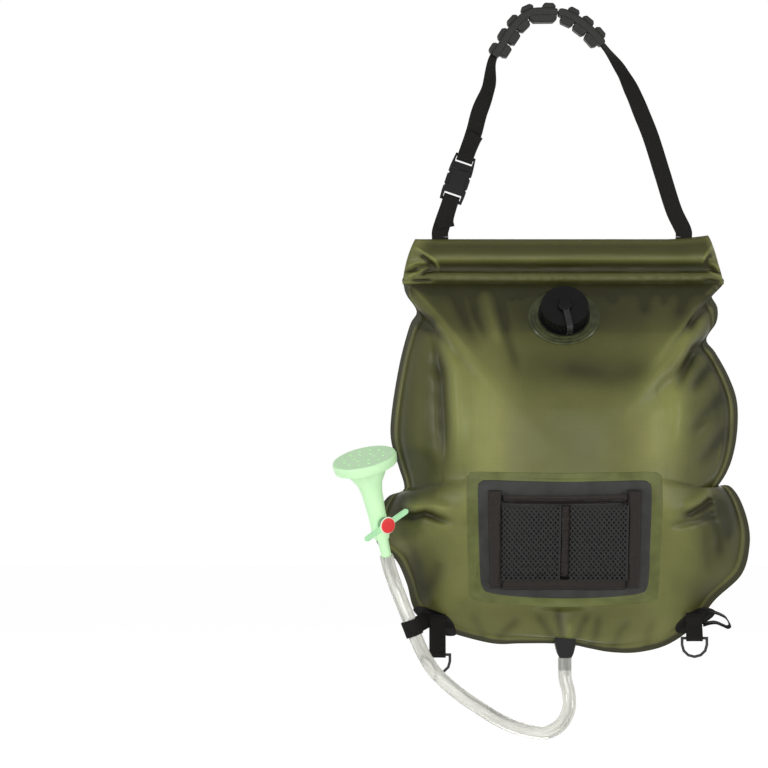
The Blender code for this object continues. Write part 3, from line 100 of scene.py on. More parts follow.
# Lines and heights shared with the frame
SEAM_LEAN = 0.060
BAG_TOP = -0.3046
BAG_FOOT = -0.7586
HEADER_FOOT = -0.3133
MILLIMETRE = 0.001
# Half the thickness of the welded edge
WELD_HALF = 0.0009
# Depth of the belly as a share of its greatest depth, against the height above the foot as a share
DEPTH_SHARES = ((0.0, 0.7), (0.15, 0.9), (0.38, 1.0), (0.65, 0.96), (0.85, 0.84), (1.0, 0.6))

# Where hard pieces are seated on the front: x, z, y of the skin there, reach
SEATS = (
    (0.019, -0.325, -0.0118, 0.030), (0.019, -0.385, -0.0483, 0.034), (0.019, -0.353, -0.0305, 0.045),
    (-0.132, -0.690, -0.0022, 0.030), (-0.132, -0.712, 0.0125, 0.026),
    (0.179, -0.688, 0.0021, 0.030), (0.179, -0.710, 0.0167, 0.026),
)
# Places that the folds keep clear of: x, z, reach
QUIET = ((0.019, -0.353, 0.048), (-0.132, -0.712, 0.026), (0.179, -0.710, 0.026))

# The belly hangs over the outlet: middle across, where it starts, y of the front there
OVERHANG = (0.0216, -0.694, -0.024)

# Route of the hose from the outlet's barb to the shower head's spigot
HOSE_POINTS = (
    (0.0216, -0.0030, -0.7650), (0.0216, -0.0030, -0.7805), (0.0220, -0.0032, -0.7900), (0.0262, -0.0050, -0.8080),
    (0.0262, -0.0085, -0.8260), (0.0170, -0.0120, -0.8440), (0.0000, -0.0150, -0.8540),
    (-0.0204, -0.0175, -0.8525), (-0.0420, -0.0190, -0.8460), (-0.0612, -0.0200, -0.8370),
    (-0.0820, -0.0205, -0.8240), (-0.1020, -0.0210, -0.8105), (-0.1210, -0.0215, -0.7950),
    (-0.1370, -0.0220, -0.7790), (-0.1490, -0.0225, -0.7600), (-0.1590, -0.0230, -0.7380),
    (-0.1670, -0.0230, -0.7170), (-0.1755, -0.0225, -0.6960), (-0.1840, -0.0225, -0.6740),
    (-0.1900, -0.0258, -0.6560), (-0.1939, -0.0312, -0.6404),
)


def props():
    return bpy.context.scene.shower_bag


# Settings

def length(name, description, default, low=0.0):
    return bpy.props.FloatProperty(name=name, description=description, default=default, min=low, unit="LENGTH")


def amount(name, description, default, low=0.0):
    return bpy.props.FloatProperty(name=name, description=description, default=default, min=low)


def tint(name, description, default):
    return bpy.props.FloatVectorProperty(
        name=name, description=description, default=default, subtype="COLOR", size=3)


# Node trees

def put(tree, node, *numbered, **named):
    """Settings and inputs of a node, in order or by name with _ for a space; a socket is linked."""
    for key, value in (*named.items(), *enumerate(numbered)):
        label = key.replace("_", " ") if isinstance(key, str) else key
        if isinstance(key, str) and label not in node.inputs:
            setattr(node, key, value)
        elif isinstance(value, bpy.types.NodeSocket):
            tree.links.new(value, node.inputs[label])
        else:
            node.inputs[label].default_value = value
    return node


def add(tree, kind, *numbered, **named):
    return put(tree, tree.nodes.new(kind), *numbered, **named)


def sum_node(tree, operation, *numbered):
    return add(tree, "ShaderNodeMath", *numbered, operation=operation).outputs[0]


def grain(tree, scale, detail, **named):
    """Noise over the object's own coordinates."""
    place = add(tree, "ShaderNodeTexCoord").outputs["Object"]
    return add(tree, "ShaderNodeTexNoise", Vector=place, Scale=scale, Detail=detail, **named).outputs["Fac"]


def bump(tree, height, strength, distance, **named):
    return add(tree, "ShaderNodeBump", Height=height, Strength=strength, Distance=distance,
               **named).outputs["Normal"]


def ranged(tree, value, low, high, **named):
    """A value from 0 to 1 brought between two others."""
    return add(tree, "ShaderNodeMapRange", Value=value, To_Min=low, To_Max=high, **named).outputs["Result"]


def ramp(tree, factor, *stops):
    """Colour of a ramp with stops of (position, colour), its two ends first."""
    made = add(tree, "ShaderNodeValToRGB", Fac=factor)
    elements = made.color_ramp.elements
    for k, (position, colour) in enumerate(stops):
        element = elements[k] if k < 2 else elements.new(position)
        element.position, element.color = position, (*colour, 1)
    return made.outputs["Color"]


def woven(tree, place, bands, start=0.0, distortion=0.0):
    """Height of a weave, as a sum of bands of (axis, pitch, share, sharpness)."""
    for axis, pitch, share, sharpness in bands:
        band = add(tree, "ShaderNodeTexWave", wave_type="BANDS", bands_direction=axis, Vector=place,
                   Scale=math.pi / 10 / pitch, Distortion=distortion).outputs["Fac"]
        if sharpness:
            band = sum_node(tree, "POWER", band, sharpness)
        start = sum_node(tree, "MULTIPLY_ADD", band, share, start)
    return start


def plain_material(name, colour, roughness, **named):
    """A material, its tree and its Principled shader with the given inputs."""
    made = bpy.data.materials.new(name)
    made.use_nodes = True
    tree = made.node_tree
    shader = put(tree, tree.nodes["Principled BSDF"], Base_Color=(*colour[:3], 1), Roughness=roughness, **named)
    return made, tree, shader


def mottled(name, colour, roughness, scale, detail, stops, strength, distance, **named):
    """A surface whose colour, at two (position, share of the colour), and bump follow one noise."""
    made, tree, shader = plain_material(name, colour, roughness, **named)
    slow = grain(tree, scale, detail)
    ends = [(position, np.array(colour) * share) for position, share in stops]
    put(tree, shader, Base_Color=ramp(tree, slow, *ends), Normal=bump(tree, slow, strength, distance))
    return made


def assign(obj, surface):
    obj.data.materials.clear()
    obj.data.materials.append(surface)


def moulded(name, colour, roughness):
    """Moulded plastic: a fine sand grain and a slow change of gloss. Pieces whose green is above 0.8 also get a faint
    painted glow as emission.
    """
    made, tree, shader = plain_material(name, colour, roughness)
    slow = grain(tree, 60.0, 2.0)
    put(tree, shader, Specular_IOR_Level=0.10 if max(colour) < 0.02 else 0.25,
        Normal=bump(tree, grain(tree, 900.0, 3.0), 0.4, 0.00004),
        Roughness=ranged(tree, slow, roughness * 0.85, roughness * 1.2))
    # Painted glow: emission in the piece's own colour
    if colour[1] > 0.8:
        put(tree, shader, Emission_Color=(*colour, 1), Emission_Strength=0.17)
    return made


# Stage

class StageSettings(bpy.types.PropertyGroup):
    """Camera and light."""
    distance: length("Camera distance", "From the camera to the object's middle plane", 4.0, 1)
    lamp_power: amount("Lamp power", "Power of the main lamp", 30.0)
    ground: tint("Ground", "Colour of the floor", (1.0, 1.0, 1.0))


class BAG_OT_stage(bpy.types.Operator):
    """Make the camera, the lamps, the world and the pale floor below the bag"""
    bl_idname = "shower_bag.stage"
    bl_label = "Stage"

    def execute(self, context):
        values = props().stage
        make_camera(values.distance)
        make_lights(values.lamp_power)
        make_floor(values.ground)
        return {"FINISHED"}


def link_object(name, data):
    made = bpy.data.objects.new(name, data)
    bpy.context.collection.objects.link(made)
    return made


def make_camera(distance):
    """Level, square to the front, as the photograph is framed."""
    data = bpy.data.cameras.new("camera")
    data.sensor_width = 36
    data.lens = 36 * distance / (PHOTO_WIDTH * PIXEL)
    camera = link_object("camera", data)
    x, z = spot(PHOTO_WIDTH / 2, PHOTO_WIDTH / 2)
    camera.location = (x, -distance - 0.03, z)
    camera.rotation_euler = (math.radians(90), 0, 0)
    bpy.context.scene.camera = camera


# Lamps: name, place, size, share of the main lamp's power
LAMPS = (
    ("front", (-0.25, -3.4, -0.75), 1.1, 1.25), ("left", (-2.3, -1.8, -0.35), 0.6, 0.75),
    ("right", (2.3, -1.8, -0.35), 0.6, 0.65), ("back", (0.4, 2.6, 0.9), 1.2, 0.6),
)


def make_lights(power):
    """Lamps that point at the bag's middle, and a world that is white only where it is seen."""
    middle = Vector((0, 0, -0.45))
    for name, place, size, share in LAMPS:
        data = bpy.data.lights.new(name, "AREA")
        data.shape = "SQUARE"
        data.size = size
        data.energy = power * share
        lamp = link_object(name, data)
        lamp.location = place
        lamp.rotation_euler = (middle - Vector(place)).to_track_quat("-Z", "Y").to_euler()
    scene = bpy.context.scene
    scene.view_settings.view_transform = "Standard"
    world = scene.world or bpy.data.worlds.new("world")
    scene.world = world
    world.use_nodes = True
    tree = world.node_tree
    tree.nodes.clear()
    light, white = (add(tree, "ShaderNodeBackground", Strength=strength, Color=(1, 1, 1, 1)).outputs[0]
                    for strength in (0.17, 1.0))
    mix = add(tree, "ShaderNodeMixShader", seen_ray(tree), light, white)
    add(tree, "ShaderNodeOutputWorld", Surface=mix.outputs[0])


def seen_ray(tree):
    """1 for rays that see the background, straight, in gloss or through clear pieces."""
    path = tree.nodes.new("ShaderNodeLightPath").outputs
    either = sum_node(tree, "MAXIMUM", path["Is Camera Ray"], path["Is Glossy Ray"])
    return sum_node(tree, "MAXIMUM", either, path["Is Transmission Ray"])


def make_floor(colour):
    """A wide pale floor under the bag, white where it is seen and a little darker in the bag's shadow."""
    mesh = bmesh.new()
    corners = ((-6, -6), (6, -6), (6, 6), (-6, 6))
    level = CAD_BOUNDS[0][2] - 0.12
    mesh.faces.new([mesh.verts.new((x, y, level)) for x, y in corners])
    floor = finish_mesh("floor", mesh)
    made, tree, shader = plain_material("floor_white", colour, 0.9)
    light = add(tree, "ShaderNodeEmission", Strength=1.12, Color=(*colour[:3], 1))
    most = sum_node(tree, "MULTIPLY", seen_ray(tree), 0.85)
    mix = add(tree, "ShaderNodeMixShader", most, shader.outputs[0], light.outputs[0])
    put(tree, tree.nodes["Material Output"], Surface=mix.outputs[0])
    assign(floor, made)


def finish_mesh(name, mesh, smooth=None):
    """Link a closed or open mesh as an object, smooth below the given angle."""
    data = bpy.data.meshes.new(name)
    mesh.to_mesh(data)
    mesh.free()
    if smooth:
        data.shade_smooth()
        data.set_sharp_from_angle(angle=math.radians(smooth))
    return link_object(name, data)


def dress(piece, surface, slot, *nodes, body="bag"):
    """Give a piece its surface and its body, and hide the nodes that it stands for. The slot is not used."""
    assign(piece, surface)
    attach(piece, body)
    if nodes:
        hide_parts(*nodes)
    return piece


def body_of(node):
    """Body that carries a node of the frame."""
    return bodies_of(frame["nodes"][node])[0]


def spot(x, y):
    """Place in the front view that a place in the photograph stands for."""
    return ((x - ORIGIN[0]) * PIXEL, (ORIGIN[1] - y) * PIXEL)


def lengths_along(points):
    """Distance of each point of a line from its start."""
    return np.concatenate(([0], np.cumsum(np.linalg.norm(np.diff(points, axis=0), axis=1))))


def direction(line, i):
    """Unit direction of a line at its point i."""
    forward = line[min(i + 1, len(line) - 1)] - line[max(i - 1, 0)]
    return forward / np.linalg.norm(forward)


def bridge(mesh, loops):
    """Faces between closed loops, the first and last of which may be one point."""
    for first, second in zip(loops, loops[1:]):
        count = max(len(first), len(second))
        for i in range(count):
            k = (i + 1) % count
            corners = (first[i % len(first)], second[i % len(second)], second[k % len(second)],
                       first[k % len(first)])
            mesh.faces.new(tuple(dict.fromkeys(corners)))


def close_ends(mesh, loops):
    """Faces between closed loops and over both ends."""
    bridge(mesh, loops)
    mesh.faces.new(loops[0])
    mesh.faces.new(loops[-1])


def outward(mesh):
    bmesh.ops.recalc_face_normals(mesh, faces=mesh.faces)
    return mesh


def wrapped(rows, uv):
    """A closed skin over rows of points, with the UV map "weave" in metres, from uv(row, column)."""
    mesh = bmesh.new()
    layer = mesh.loops.layers.uv.new("weave")
    loops = [[mesh.verts.new(point) for point in row] for row in rows]
    count = len(loops[0])
    for i in range(len(loops) - 1):
        for k in range(count):
            places = ((i, k), (i, k + 1), (i + 1, k + 1), (i + 1, k))
            made = mesh.faces.new([loops[row][column % count] for row, column in places])
            for loop, place in zip(made.loops, places):
                loop[layer].uv = uv(*place)
    for end in (loops[0], loops[-1]):
        mesh.faces.new(end)
    return outward(mesh)


# Filled bag

# Outline of the bag in the photograph, clockwise from the header's left end, and the middle of its belly
OUTLINE = (
    (406, 276), (450, 276), (500, 276), (550, 276), (600, 276), (650, 276), (690, 276), (722, 276), (725.5, 284),
    (714, 294), (720, 307), (719, 322), (709, 339), (718, 352), (731, 375), (740, 400), (741, 428), (737, 455),
    (729, 476), (713, 500), (729, 486), (742, 497), (752, 523), (754, 548), (746, 577), (719, 603), (700, 628),
    (672, 648),
    (642, 656), (615, 656), (592, 652), (578, 649), (553, 647), (523, 647), (494, 647), (454, 637), (430, 628),
    (414, 611), (407, 586), (396, 562), (379, 548), (375, 534), (378, 515), (388, 498), (403, 492), (404, 484),
    (399, 468), (391, 440), (392, 410), (400, 362), (410, 325), (417, 311), (407, 295), (404, 285),
)
BELLY = (566, 465)
# Points round a skin and rings from its rim to its middle
SPOKES = 420
RINGS = 96
# Height of a fold whose tone is 1
FOLD_UNIT = 0.003
# Painted highlights and painted shade on the front: middle, half width, half height, amount
PAINTED_LIGHT_SPOTS = (
    (485, 425, 24, 85, 1.3), (660, 420, 17, 75, 1.3), (575, 368, 100, 22, -0.85), (566, 420, 50, 60, -0.3),
    (566, 320, 150, 25, -0.5),
    (416, 600, 26, 50, -0.9), (430, 430, 9, 80, -0.5), (712, 590, 26, 55, -0.9), (726, 420, 12, 60, -0.5),
    (565, 612, 90, 12, -0.5), (566, 643, 60, 5, 0.7), (426, 322, 9, 5, -1.6), (712, 310, 9, 14, -0.5),
    (394, 506, 10, 12, -1.3), (736, 512, 14, 20, -0.7), (404, 440, 12, 60, -0.3),
)
# Folds of the front: line, width in millimetres, height in millimetres (out is more than 0)
FOLDS = (
    (((401, 286), (433, 328), (452, 366), (457, 420), (454, 480)), 12, 4.0),
    (((417, 311), (436, 335), (443, 380), (445, 430), (446, 485)), 8, -4.5),
    (((415, 312), (424, 319), (434, 329)), 5, -5.5),
    (((713, 295), (698, 315), (684, 334)), 6, -6.0),
    (((709, 340), (694, 350), (682, 372), (674, 394)), 7, -6.0),
    (((727, 284), (702, 322), (687, 342), (679, 376), (677, 425), (680, 475)), 12, 3.5),
    (((719, 360), (702, 376), (688, 394)), 6, -2.6),
    (((728, 392), (704, 414), (686, 442)), 8, -2.2),
    (((732, 430), (712, 448), (694, 470)), 8, -1.8),
    (((399, 515), (414, 517), (425, 513), (440, 519), (459, 523)), 5, -5.0),
    (((404, 505), (417, 507), (432, 505), (446, 509), (454, 515)), 6, 4.0),
    (((713, 499), (702, 507), (690, 513), (676, 518)), 5, -5.5),
    (((716, 512), (698, 520), (682, 523), (662, 525)), 5, -3.2),
    (((710, 490), (696, 501), (680, 508)), 6, 3.0),
    (((459, 523), (500, 526), (560, 528), (620, 527), (662, 525)), 9, -2.0),
    (((455, 290), (467, 325), (482, 354)), 7, -1.8),
    (((471, 288), (476, 314), (488, 345)), 5, -1.8),
    (((484, 288), (491, 315), (501, 348)), 6, 1.6),
    (((499, 288), (506, 332), (520, 380)), 6, -2.0),
    (((511, 286), (513, 303)), 3.5, -1.6),
    (((520, 286), (522, 301)), 3.5, -1.6),
    (((530, 286), (531, 298)), 3.5, -1.4),
    (((541, 286), (541, 294)), 3.5, -1.2),
    (((610, 286), (616, 306)), 5, -1.2),
    (((648, 286), (644, 318)), 7, -1.4),
    (((668, 284), (664, 308)), 5, -1.2),
    (((690, 286), (676, 322)), 7, -1.4),
    (((560, 366), (610, 378), (650, 368), (682, 346)), 14, -1.2),
    (((564, 642), (560, 624), (557, 604)), 5, -3.0),
    (((556, 642), (545, 626), (533, 612)), 5, -2.4),
    (((575, 644), (582, 627), (592, 611)), 5, -2.4),
    (((568, 640), (570, 622)), 4, 2.2),
    (((499, 643), (510, 630), (524, 618)), 6, -2.2),
    (((487, 642), (478, 626), (470, 611)), 6, -1.8),
    (((594, 650), (598, 631), (601, 612)), 6, -2.4),
    (((615, 653), (622, 634), (634, 618)), 6, -1.8),
    (((650, 653), (652, 634), (660, 618)), 6, -1.5),
    (((718, 500), (728, 520), (731, 548)), 6, -2.4),
    (((712, 512), (720, 540), (722, 566)), 7, -2.0),
    (((704, 520), (706, 548), (712, 580)), 8, -1.4),
    (((440, 560), (432, 590), (428, 612)), 8, -1.4),
    (((452, 600), (446, 618), (440, 630)), 6, -1.6),
)


def smooth_loop(points, count):
    """Evenly spaced points on a smooth closed curve."""
    spots = np.array([spot(*point) for point in points])
    found = []
    for i in range(len(spots)):
        a, b, c, d = (spots[(i + k) % len(spots)] for k in (-1, 0, 1, 2))
        for step in np.linspace(0, 1, 24, endpoint=False):
            found.append((2 * b + (c - a) * step + (2 * a - 5 * b + 4 * c - d) * step ** 2
                          + (3 * b - a - 3 * c + d) * step ** 3) / 2)
    found = np.array(found + found[:1])
    along = lengths_along(found)
    wanted = np.linspace(0, along[-1], count, endpoint=False)
    return np.stack([np.interp(wanted, along, found[:, k]) for k in (0, 1)], axis=1)


def fold_heights(x, z, folds):
    """Sum of the folds at places of the front."""
    total = np.zeros_like(x)
    for line, width, height in folds:
        points = np.array([spot(*point) for point in line])
        lengths = np.linalg.norm(np.diff(points, axis=0), axis=1)
        start = lengths_along(points)
        best = np.full_like(x, 1e9)
        place = np.zeros_like(x)
        for k in range(len(lengths)):
            edge = (points[k + 1] - points[k]) / lengths[k]
            along = np.clip((x - points[k][0]) * edge[0] + (z - points[k][1]) * edge[1], 0, lengths[k])
            gap = np.hypot(x - points[k][0] - edge[0] * along, z - points[k][1] - edge[1] * along)
            near = gap < best
            best = np.where(near, gap, best)
            place = np.where(near, (start[k] + along) / start[-1], place)
        fade = np.clip(np.minimum(place * 6 + 0.35, (1 - place) * 3), 0, 1)
        total += height / 1000 * np.exp(-(best / (width / 1000)) ** 2) * fade * fade * (3 - 2 * fade)
    return total


def ripple(x, z, pitch, seed):
    """Slow uneven waves, from -1 to 1, with no repeats in view."""
    total = np.zeros_like(x)
    for k in range(5):
        turn = seed * 1.7 + k * 2.399
        size = pitch * (0.7 + 0.23 * k)
        total += np.sin((x * math.cos(turn) + z * math.sin(turn)) * 2 * math.pi / size + seed * 3.1 + k * 1.3)
    return total / 5


class BodySettings(bpy.types.PropertyGroup):
    """Filled bag."""
    half_depth: length("Half depth", "Half of the filled thickness", 0.088, 0.02)
    weld: length("Weld", "Width of the flat weld round the edge", 0.009, 0.002)
    creases: amount("Creases", "Height of the creases, as a share of the real ones", 1.8)
    colour: tint("Colour", "Colour of the coated fabric", (0.208, 0.212, 0.066))


def seam_y(z):
    return SEAM_LEAN * np.maximum(HEADER_FOOT - z, 0)


def smoothed(values, spread):
    """Values round a closed curve, smoothed over their neighbours."""
    window = np.exp(-np.linspace(-3, 3, 6 * spread + 1) ** 2 / 2)
    half = len(window) // 2
    wrapped = np.concatenate((values[-half:], values, values[:half]))
    return np.convolve(wrapped, window / window.sum(), mode="valid")


def bag_rings(side, values):
    """Points of one skin, side -1 in front and +1 behind, from the rim in, and a tone for each: its fold height,
    which the cloth turns into painted shade and highlight, and on the front more painted light and shade.
    """
    rim = smooth_loop(OUTLINE, SPOKES)
    centre = np.array(spot(*BELLY))
    arms = rim - centre
    # The outline evens out towards the middle
    spread = SPOKES // 18
    even = np.stack((smoothed(arms[:, 0], spread), smoothed(arms[:, 1], spread)), axis=1) * 1.03
    share = 1 - np.linspace(0, 1, RINGS)[:, None] ** 1.15
    x = centre[0] + share * (even[:, 0] + (arms[:, 0] - even[:, 0]) * share ** 3)
    z = centre[1] + share * (even[:, 1] + (arms[:, 1] - even[:, 1]) * share ** 3)
    # Swell from the weld in, fuller towards the sides and the foot
    reach = np.linalg.norm(arms, axis=1)
    ring = np.clip(share * reach / (reach - values.weld), 0, 1)
    level = np.abs(even[:, 0]) / np.linalg.norm(even, axis=1)
    start = np.where(even[:, 1] > 0, 0.5, 0.8)
    boxy = smoothed(np.clip((level - start) / (1 - start), 0, 1), SPOKES // 40)
    rise = np.clip((z - BAG_FOOT) / (BAG_TOP - BAG_FOOT), 0, 1)
    places, shares = zip(*DEPTH_SHARES)
    depth = values.half_depth * np.interp(rise, places, shares) * (1 - ring ** (2.4 + 2.2 * boxy)) ** 0.8
    edge = np.clip((1 - ring) / 0.12, 0, 1) ** 2
    depth -= np.clip((1 - ring) / 0.06, 0, 1) * beyond_solid(side, x, z, depth)
    # Painted light and shade from the turn of the smooth belly, before puckers and folds
    lit = painted_turn_light(np.stack((x, seam_y(z) + side * depth, z), axis=2))
    # Puckers along the weld
    turn = np.arctan2(z - centre[1], x - centre[0])
    puckers = np.sin(turn * 34 + 5 * np.sin(turn * 3 + side)) * (0.6 + 0.4 * np.sin(turn * 7 + side * 2))
    depth += 0.0016 * edge * np.exp(-((1 - ring) / 0.22) ** 2) * puckers
    if side < 0:
        hard = np.ones_like(x)
        for px, pz, reached in QUIET:
            hard *= 1 - np.exp(-(((x - px) ** 2 + (z - pz) ** 2) / reached ** 2) ** 2)
        # The fold height is also the tone, so the cloth paints shade in the valleys and a highlight on the ridges
        tone = hard * fold_heights(x, z, FOLDS) / FOLD_UNIT
        depth += edge * (values.creases * FOLD_UNIT * tone + 0.0007 * hard * ripple(x, z, 0.06, 1))
        depth = seat_depth(x, z, depth)
        # The belly over the outlet
        over = np.exp(-((x - OVERHANG[0]) / 0.045) ** 2) * np.clip((OVERHANG[1] - z) / 0.014, 0, 1)
        over *= np.clip((1 - ring) / 0.012, 0, 1) ** 0.5
        depth += (np.maximum(seam_y(z) - OVERHANG[2], depth) - depth) * over
        # Painted light and shade: brighter or darker by the belly's turn, painted highlight and shade spots, and a
        # painted shadow under the header
        tone += lit
        for px, py, wide, high, more in PAINTED_LIGHT_SPOTS:
            at = spot(px, py)
            tone += more * np.exp(-((x - at[0]) / (PIXEL * wide)) ** 2 - ((z - at[1]) / (PIXEL * high)) ** 2)
        # Painted shadow under the header, strongest just below its foot
        below = np.maximum(HEADER_FOOT - z, 0)
        tone -= 1.3 * np.exp(-(below / 0.012) ** 1.5) + 0.55 * np.exp(-(below / 0.060) ** 4)
    else:
        # The back's fold height is also its tone: painted shade in its valleys and a painted highlight on its ridges
        tone = fold_heights(2 * centre[0] - x, z, BACK_FOLDS) / FOLD_UNIT
        depth += edge * (FOLD_UNIT * tone + 0.0012 * ripple(x, z, 0.09, 4))
    y = seam_y(z) + side * (WELD_HALF + np.maximum(depth, 0))
    return np.stack((x, y, z), axis=2), tone - 2.0 * np.clip((share - 0.972) / 0.014, 0, 1)


def beyond_solid(side, x, z, depth, slack=0.006):
    """How far the skin's broad swell goes past that of the frame's panel, beyond a small slack."""
    tree = front_tree("front_panel" if side < 0 else "back_panel", bag=False)
    past = np.zeros_like(depth)
    for place in np.ndindex(depth.shape):
        hit = tree.ray_cast(Vector((x[place], side, z[place])), Vector((0, -side, 0)))[0]
        if hit:
            past[place] = depth[place] + WELD_HALF - side * (hit.y - seam_y(z[place]))
    past = np.array([smoothed(np.concatenate((line, line[::-1])), 4)[:len(line)] for line in past.T]).T
    inward = np.linspace(0, 1, len(past))
    past = np.array([smoothed(row, 3 + int(9 * share ** 2)) for row, share in zip(past, inward)])
    level = np.clip((inward - 0.8) / 0.2, 0, 1)[:, None] ** 1.5
    past += (past.mean(axis=1, keepdims=True) - past) * level
    return past - slack * np.tanh(past / slack)


def painted_turn_light(points):
    """Painted light and shade by the belly's turn: a painted highlight band where it turns a little aside, painted
    shade where it turns far aside or faces up.
    """
    along = np.gradient(points, axis=0)
    around = np.roll(points, -1, axis=1) - np.roll(points, 1, axis=1)
    normal = np.cross(along, around)
    normal /= np.maximum(np.linalg.norm(normal, axis=2, keepdims=True), 1e-12)
    aside = np.abs(normal[:, :, 0])
    up = normal[:, :, 2] * -np.sign(normal[:, :, 1])
    painted_highlight = 0.55 * np.exp(-((aside - 0.27) / 0.12) ** 2)
    return painted_highlight - 0.9 * np.clip((aside - 0.42) / 0.35, 0, 1) - 0.5 * np.clip((up - 0.22) / 0.3, 0, 1)


def seat_depth(x, z, depth):
    """Bring the skin to where the hard pieces are seated."""
    for px, pz, y, reached in SEATS:
        gap = (x - px) ** 2 + (z - pz) ** 2
        nearest = np.unravel_index(np.argmin(gap), gap.shape)
        wanted = seam_y(np.array(pz)) - y - WELD_HALF
        depth = depth + (wanted - depth[nearest]) * np.exp(-gap / reached ** 2)
    return depth


def skin_mesh(values):
    """Front and back skins joined at the rim."""
    front, front_tone = bag_rings(-1, values)
    back, back_tone = bag_rings(1, values)
    mesh = bmesh.new()
    # The tone layer named fold carries painted light and shade for the cloth's colour
    layer = mesh.verts.layers.float.new("fold")
    loops = []
    for skin, tones in ((front[::-1], front_tone[::-1]), (back, back_tone)):
        for ring, tone in zip(skin, tones):
            count = 1 if np.ptp(ring[:, 0]) < 1e-6 else len(ring)
            loops.append([mesh.verts.new(point) for point in ring[:count]])
            for corner, value in zip(loops[-1], tone):
                corner[layer] = value
    bridge(mesh, loops)
    return outward(mesh)


# Folds of the back, as seen through from the front
BACK_FOLDS = (
    (((401, 286), (430, 326), (446, 366)), 10, 3.0),
    (((417, 311), (436, 335), (443, 380)), 8, -4.0),
    (((713, 295), (698, 315), (684, 334)), 6, -5.0),
    (((709, 340), (690, 352), (668, 380)), 7, -5.0),
    (((399, 515), (440, 517), (500, 522), (560, 524), (640, 520), (713, 503)), 7, -4.0),
    (((404, 503), (440, 505), (500, 510)), 8, 2.4),
    (((640, 508), (690, 503), (713, 496)), 8, 2.4),
    (((470, 288), (480, 330), (500, 380)), 8, -2.4),
    (((520, 286), (524, 320)), 6, -1.8),
    (((560, 286), (562, 330)), 7, -2.0),
    (((610, 286), (604, 326)), 6, -1.8),
    (((655, 286), (640, 340)), 8, -2.2),
    (((500, 643), (512, 610)), 7, -2.4),
    (((553, 642), (556, 600)), 6, -2.4),
    (((600, 650), (596, 608)), 7, -2.4),
    (((650, 652), (640, 615)), 7, -2.0),
    (((735, 400), (700, 415), (680, 440)), 9, -2.4),
    (((392, 410), (420, 425), (440, 450)), 9, -2.4),
)


def olive_cloth(name, colour):
    """Coated rip-stop cloth: fine weave, a thread grid, slow patches of gloss, and painted shade and painted
    highlight from the tone fold.
    """
    made, tree, shader = plain_material(name, colour, 0.42, Specular_IOR_Level=0.24)
    colour = np.array(colour)
    place = add(tree, "ShaderNodeTexCoord").outputs["Object"]
    bands = [(axis, *band) for axis in "XZ" for band in ((0.0009, 0.35, 2.0), (0.0030, 1.0, 9.0))]
    height = woven(tree, place, bands, 0.5)
    slow = grain(tree, 14.0, 4.0, Roughness=0.55)
    crumple = bump(tree, slow, 0.25, 0.004)
    tone = ramp(tree, slow, (0.3, colour * (0.86, 0.90, 0.82)), (0.7, colour * (1.10, 1.08, 1.14)))
    folds = add(tree, "ShaderNodeAttribute", attribute_name="fold").outputs["Fac"]
    folds = ranged(tree, folds, 0, 1, From_Min=-1.6, From_Max=1.6)
    # Painted shade in fold valleys and painted highlight on ridges, from the tone
    painted_shading = ramp(tree, folds, (0, (0.14, 0.135, 0.11)), (1, (1.3, 1.3, 1.3)), (0.5, (0.76, 0.76, 0.76)))
    for factor, layer in ((0.10, height), (1.0, painted_shading)):
        tone = add(tree, "ShaderNodeMix", data_type="RGBA", blend_type="MULTIPLY", Factor=factor, A=tone,
                   B=layer).outputs["Result"]
    put(tree, shader, Base_Color=tone, Roughness=ranged(tree, slow, 0.34, 0.46),
        Normal=bump(tree, height, 0.3, 0.00008, Normal=crumple))
    return made


class BAG_OT_body(bpy.types.Operator):
    """Make the filled bag: front and back skins with their folds, welded round the edge"""
    bl_idname = "shower_bag.body"
    bl_label = "Filled bag"

    def execute(self, context):
        values = props().body
        body = finish_mesh("bag_body", skin_mesh(values), 180)
        dress(body, olive_cloth("olive_cloth", values.colour), "olive_fabric", "front_panel", "back_panel")
        return {"FINISHED"}


# Header

HEADER_COLUMNS = 300
# Rows of the header from its top down: height in the photograph, depth in millimetres
HEADER_ROWS = (
    (238.0, 0.8), (238.6, 2.6), (240.5, 5.0), (243.5, 7.2), (247.0, 9.6), (251.0, 11.6), (255.0, 12.6), (258.5, 12.0),
    (261.5, 9.0), (264.0, 5.4), (266.5, 3.2), (269.5, 2.4), (271.0, 3.2), (272.5, 5.0), (275.5, 6.0), (278.5, 5.6),
    (280.5, 3.6), (283.5, 1.2),
)
# Folds of the header's ends: line, width in millimetres, height in millimetres
HEADER_FOLDS = (
    (((415, 246), (424, 252), (432, 257), (437, 262), (439, 267), (436, 272)), 1.9, 2.4),
    (((421, 255), (427, 258.5), (432, 263), (435, 268)), 2.2, -3.0),
    (((409, 265), (416, 262), (424, 262), (430, 264)), 2.0, 1.6),
    (((405, 271), (412, 270), (420, 267)), 2.0, -1.8),
    (((408, 276), (414, 273), (420, 270.5), (430, 265.5)), 2.0, 2.2),
    (((422, 274), (428, 271), (434, 271)), 1.7, -1.4),
    (((412, 279.5), (424, 279.5), (434, 279)), 1.6, -1.4),
    (((402, 282), (418, 282), (432, 281.5), (441, 279.5)), 1.6, 1.2),
    (((716, 246), (711, 251), (706, 257), (703, 264)), 2.0, 2.2),
    (((713, 255), (709, 258), (706, 264)), 2.0, -2.6),
    (((722, 268), (717, 264), (710, 263)), 1.8, 1.8),
    (((724, 273), (717, 270), (709, 267)), 1.8, -1.8),
    (((726, 278), (718, 274), (708, 268)), 1.8, 1.8),
    (((722, 281), (712, 279), (703, 279)), 1.5, -1.2),
)

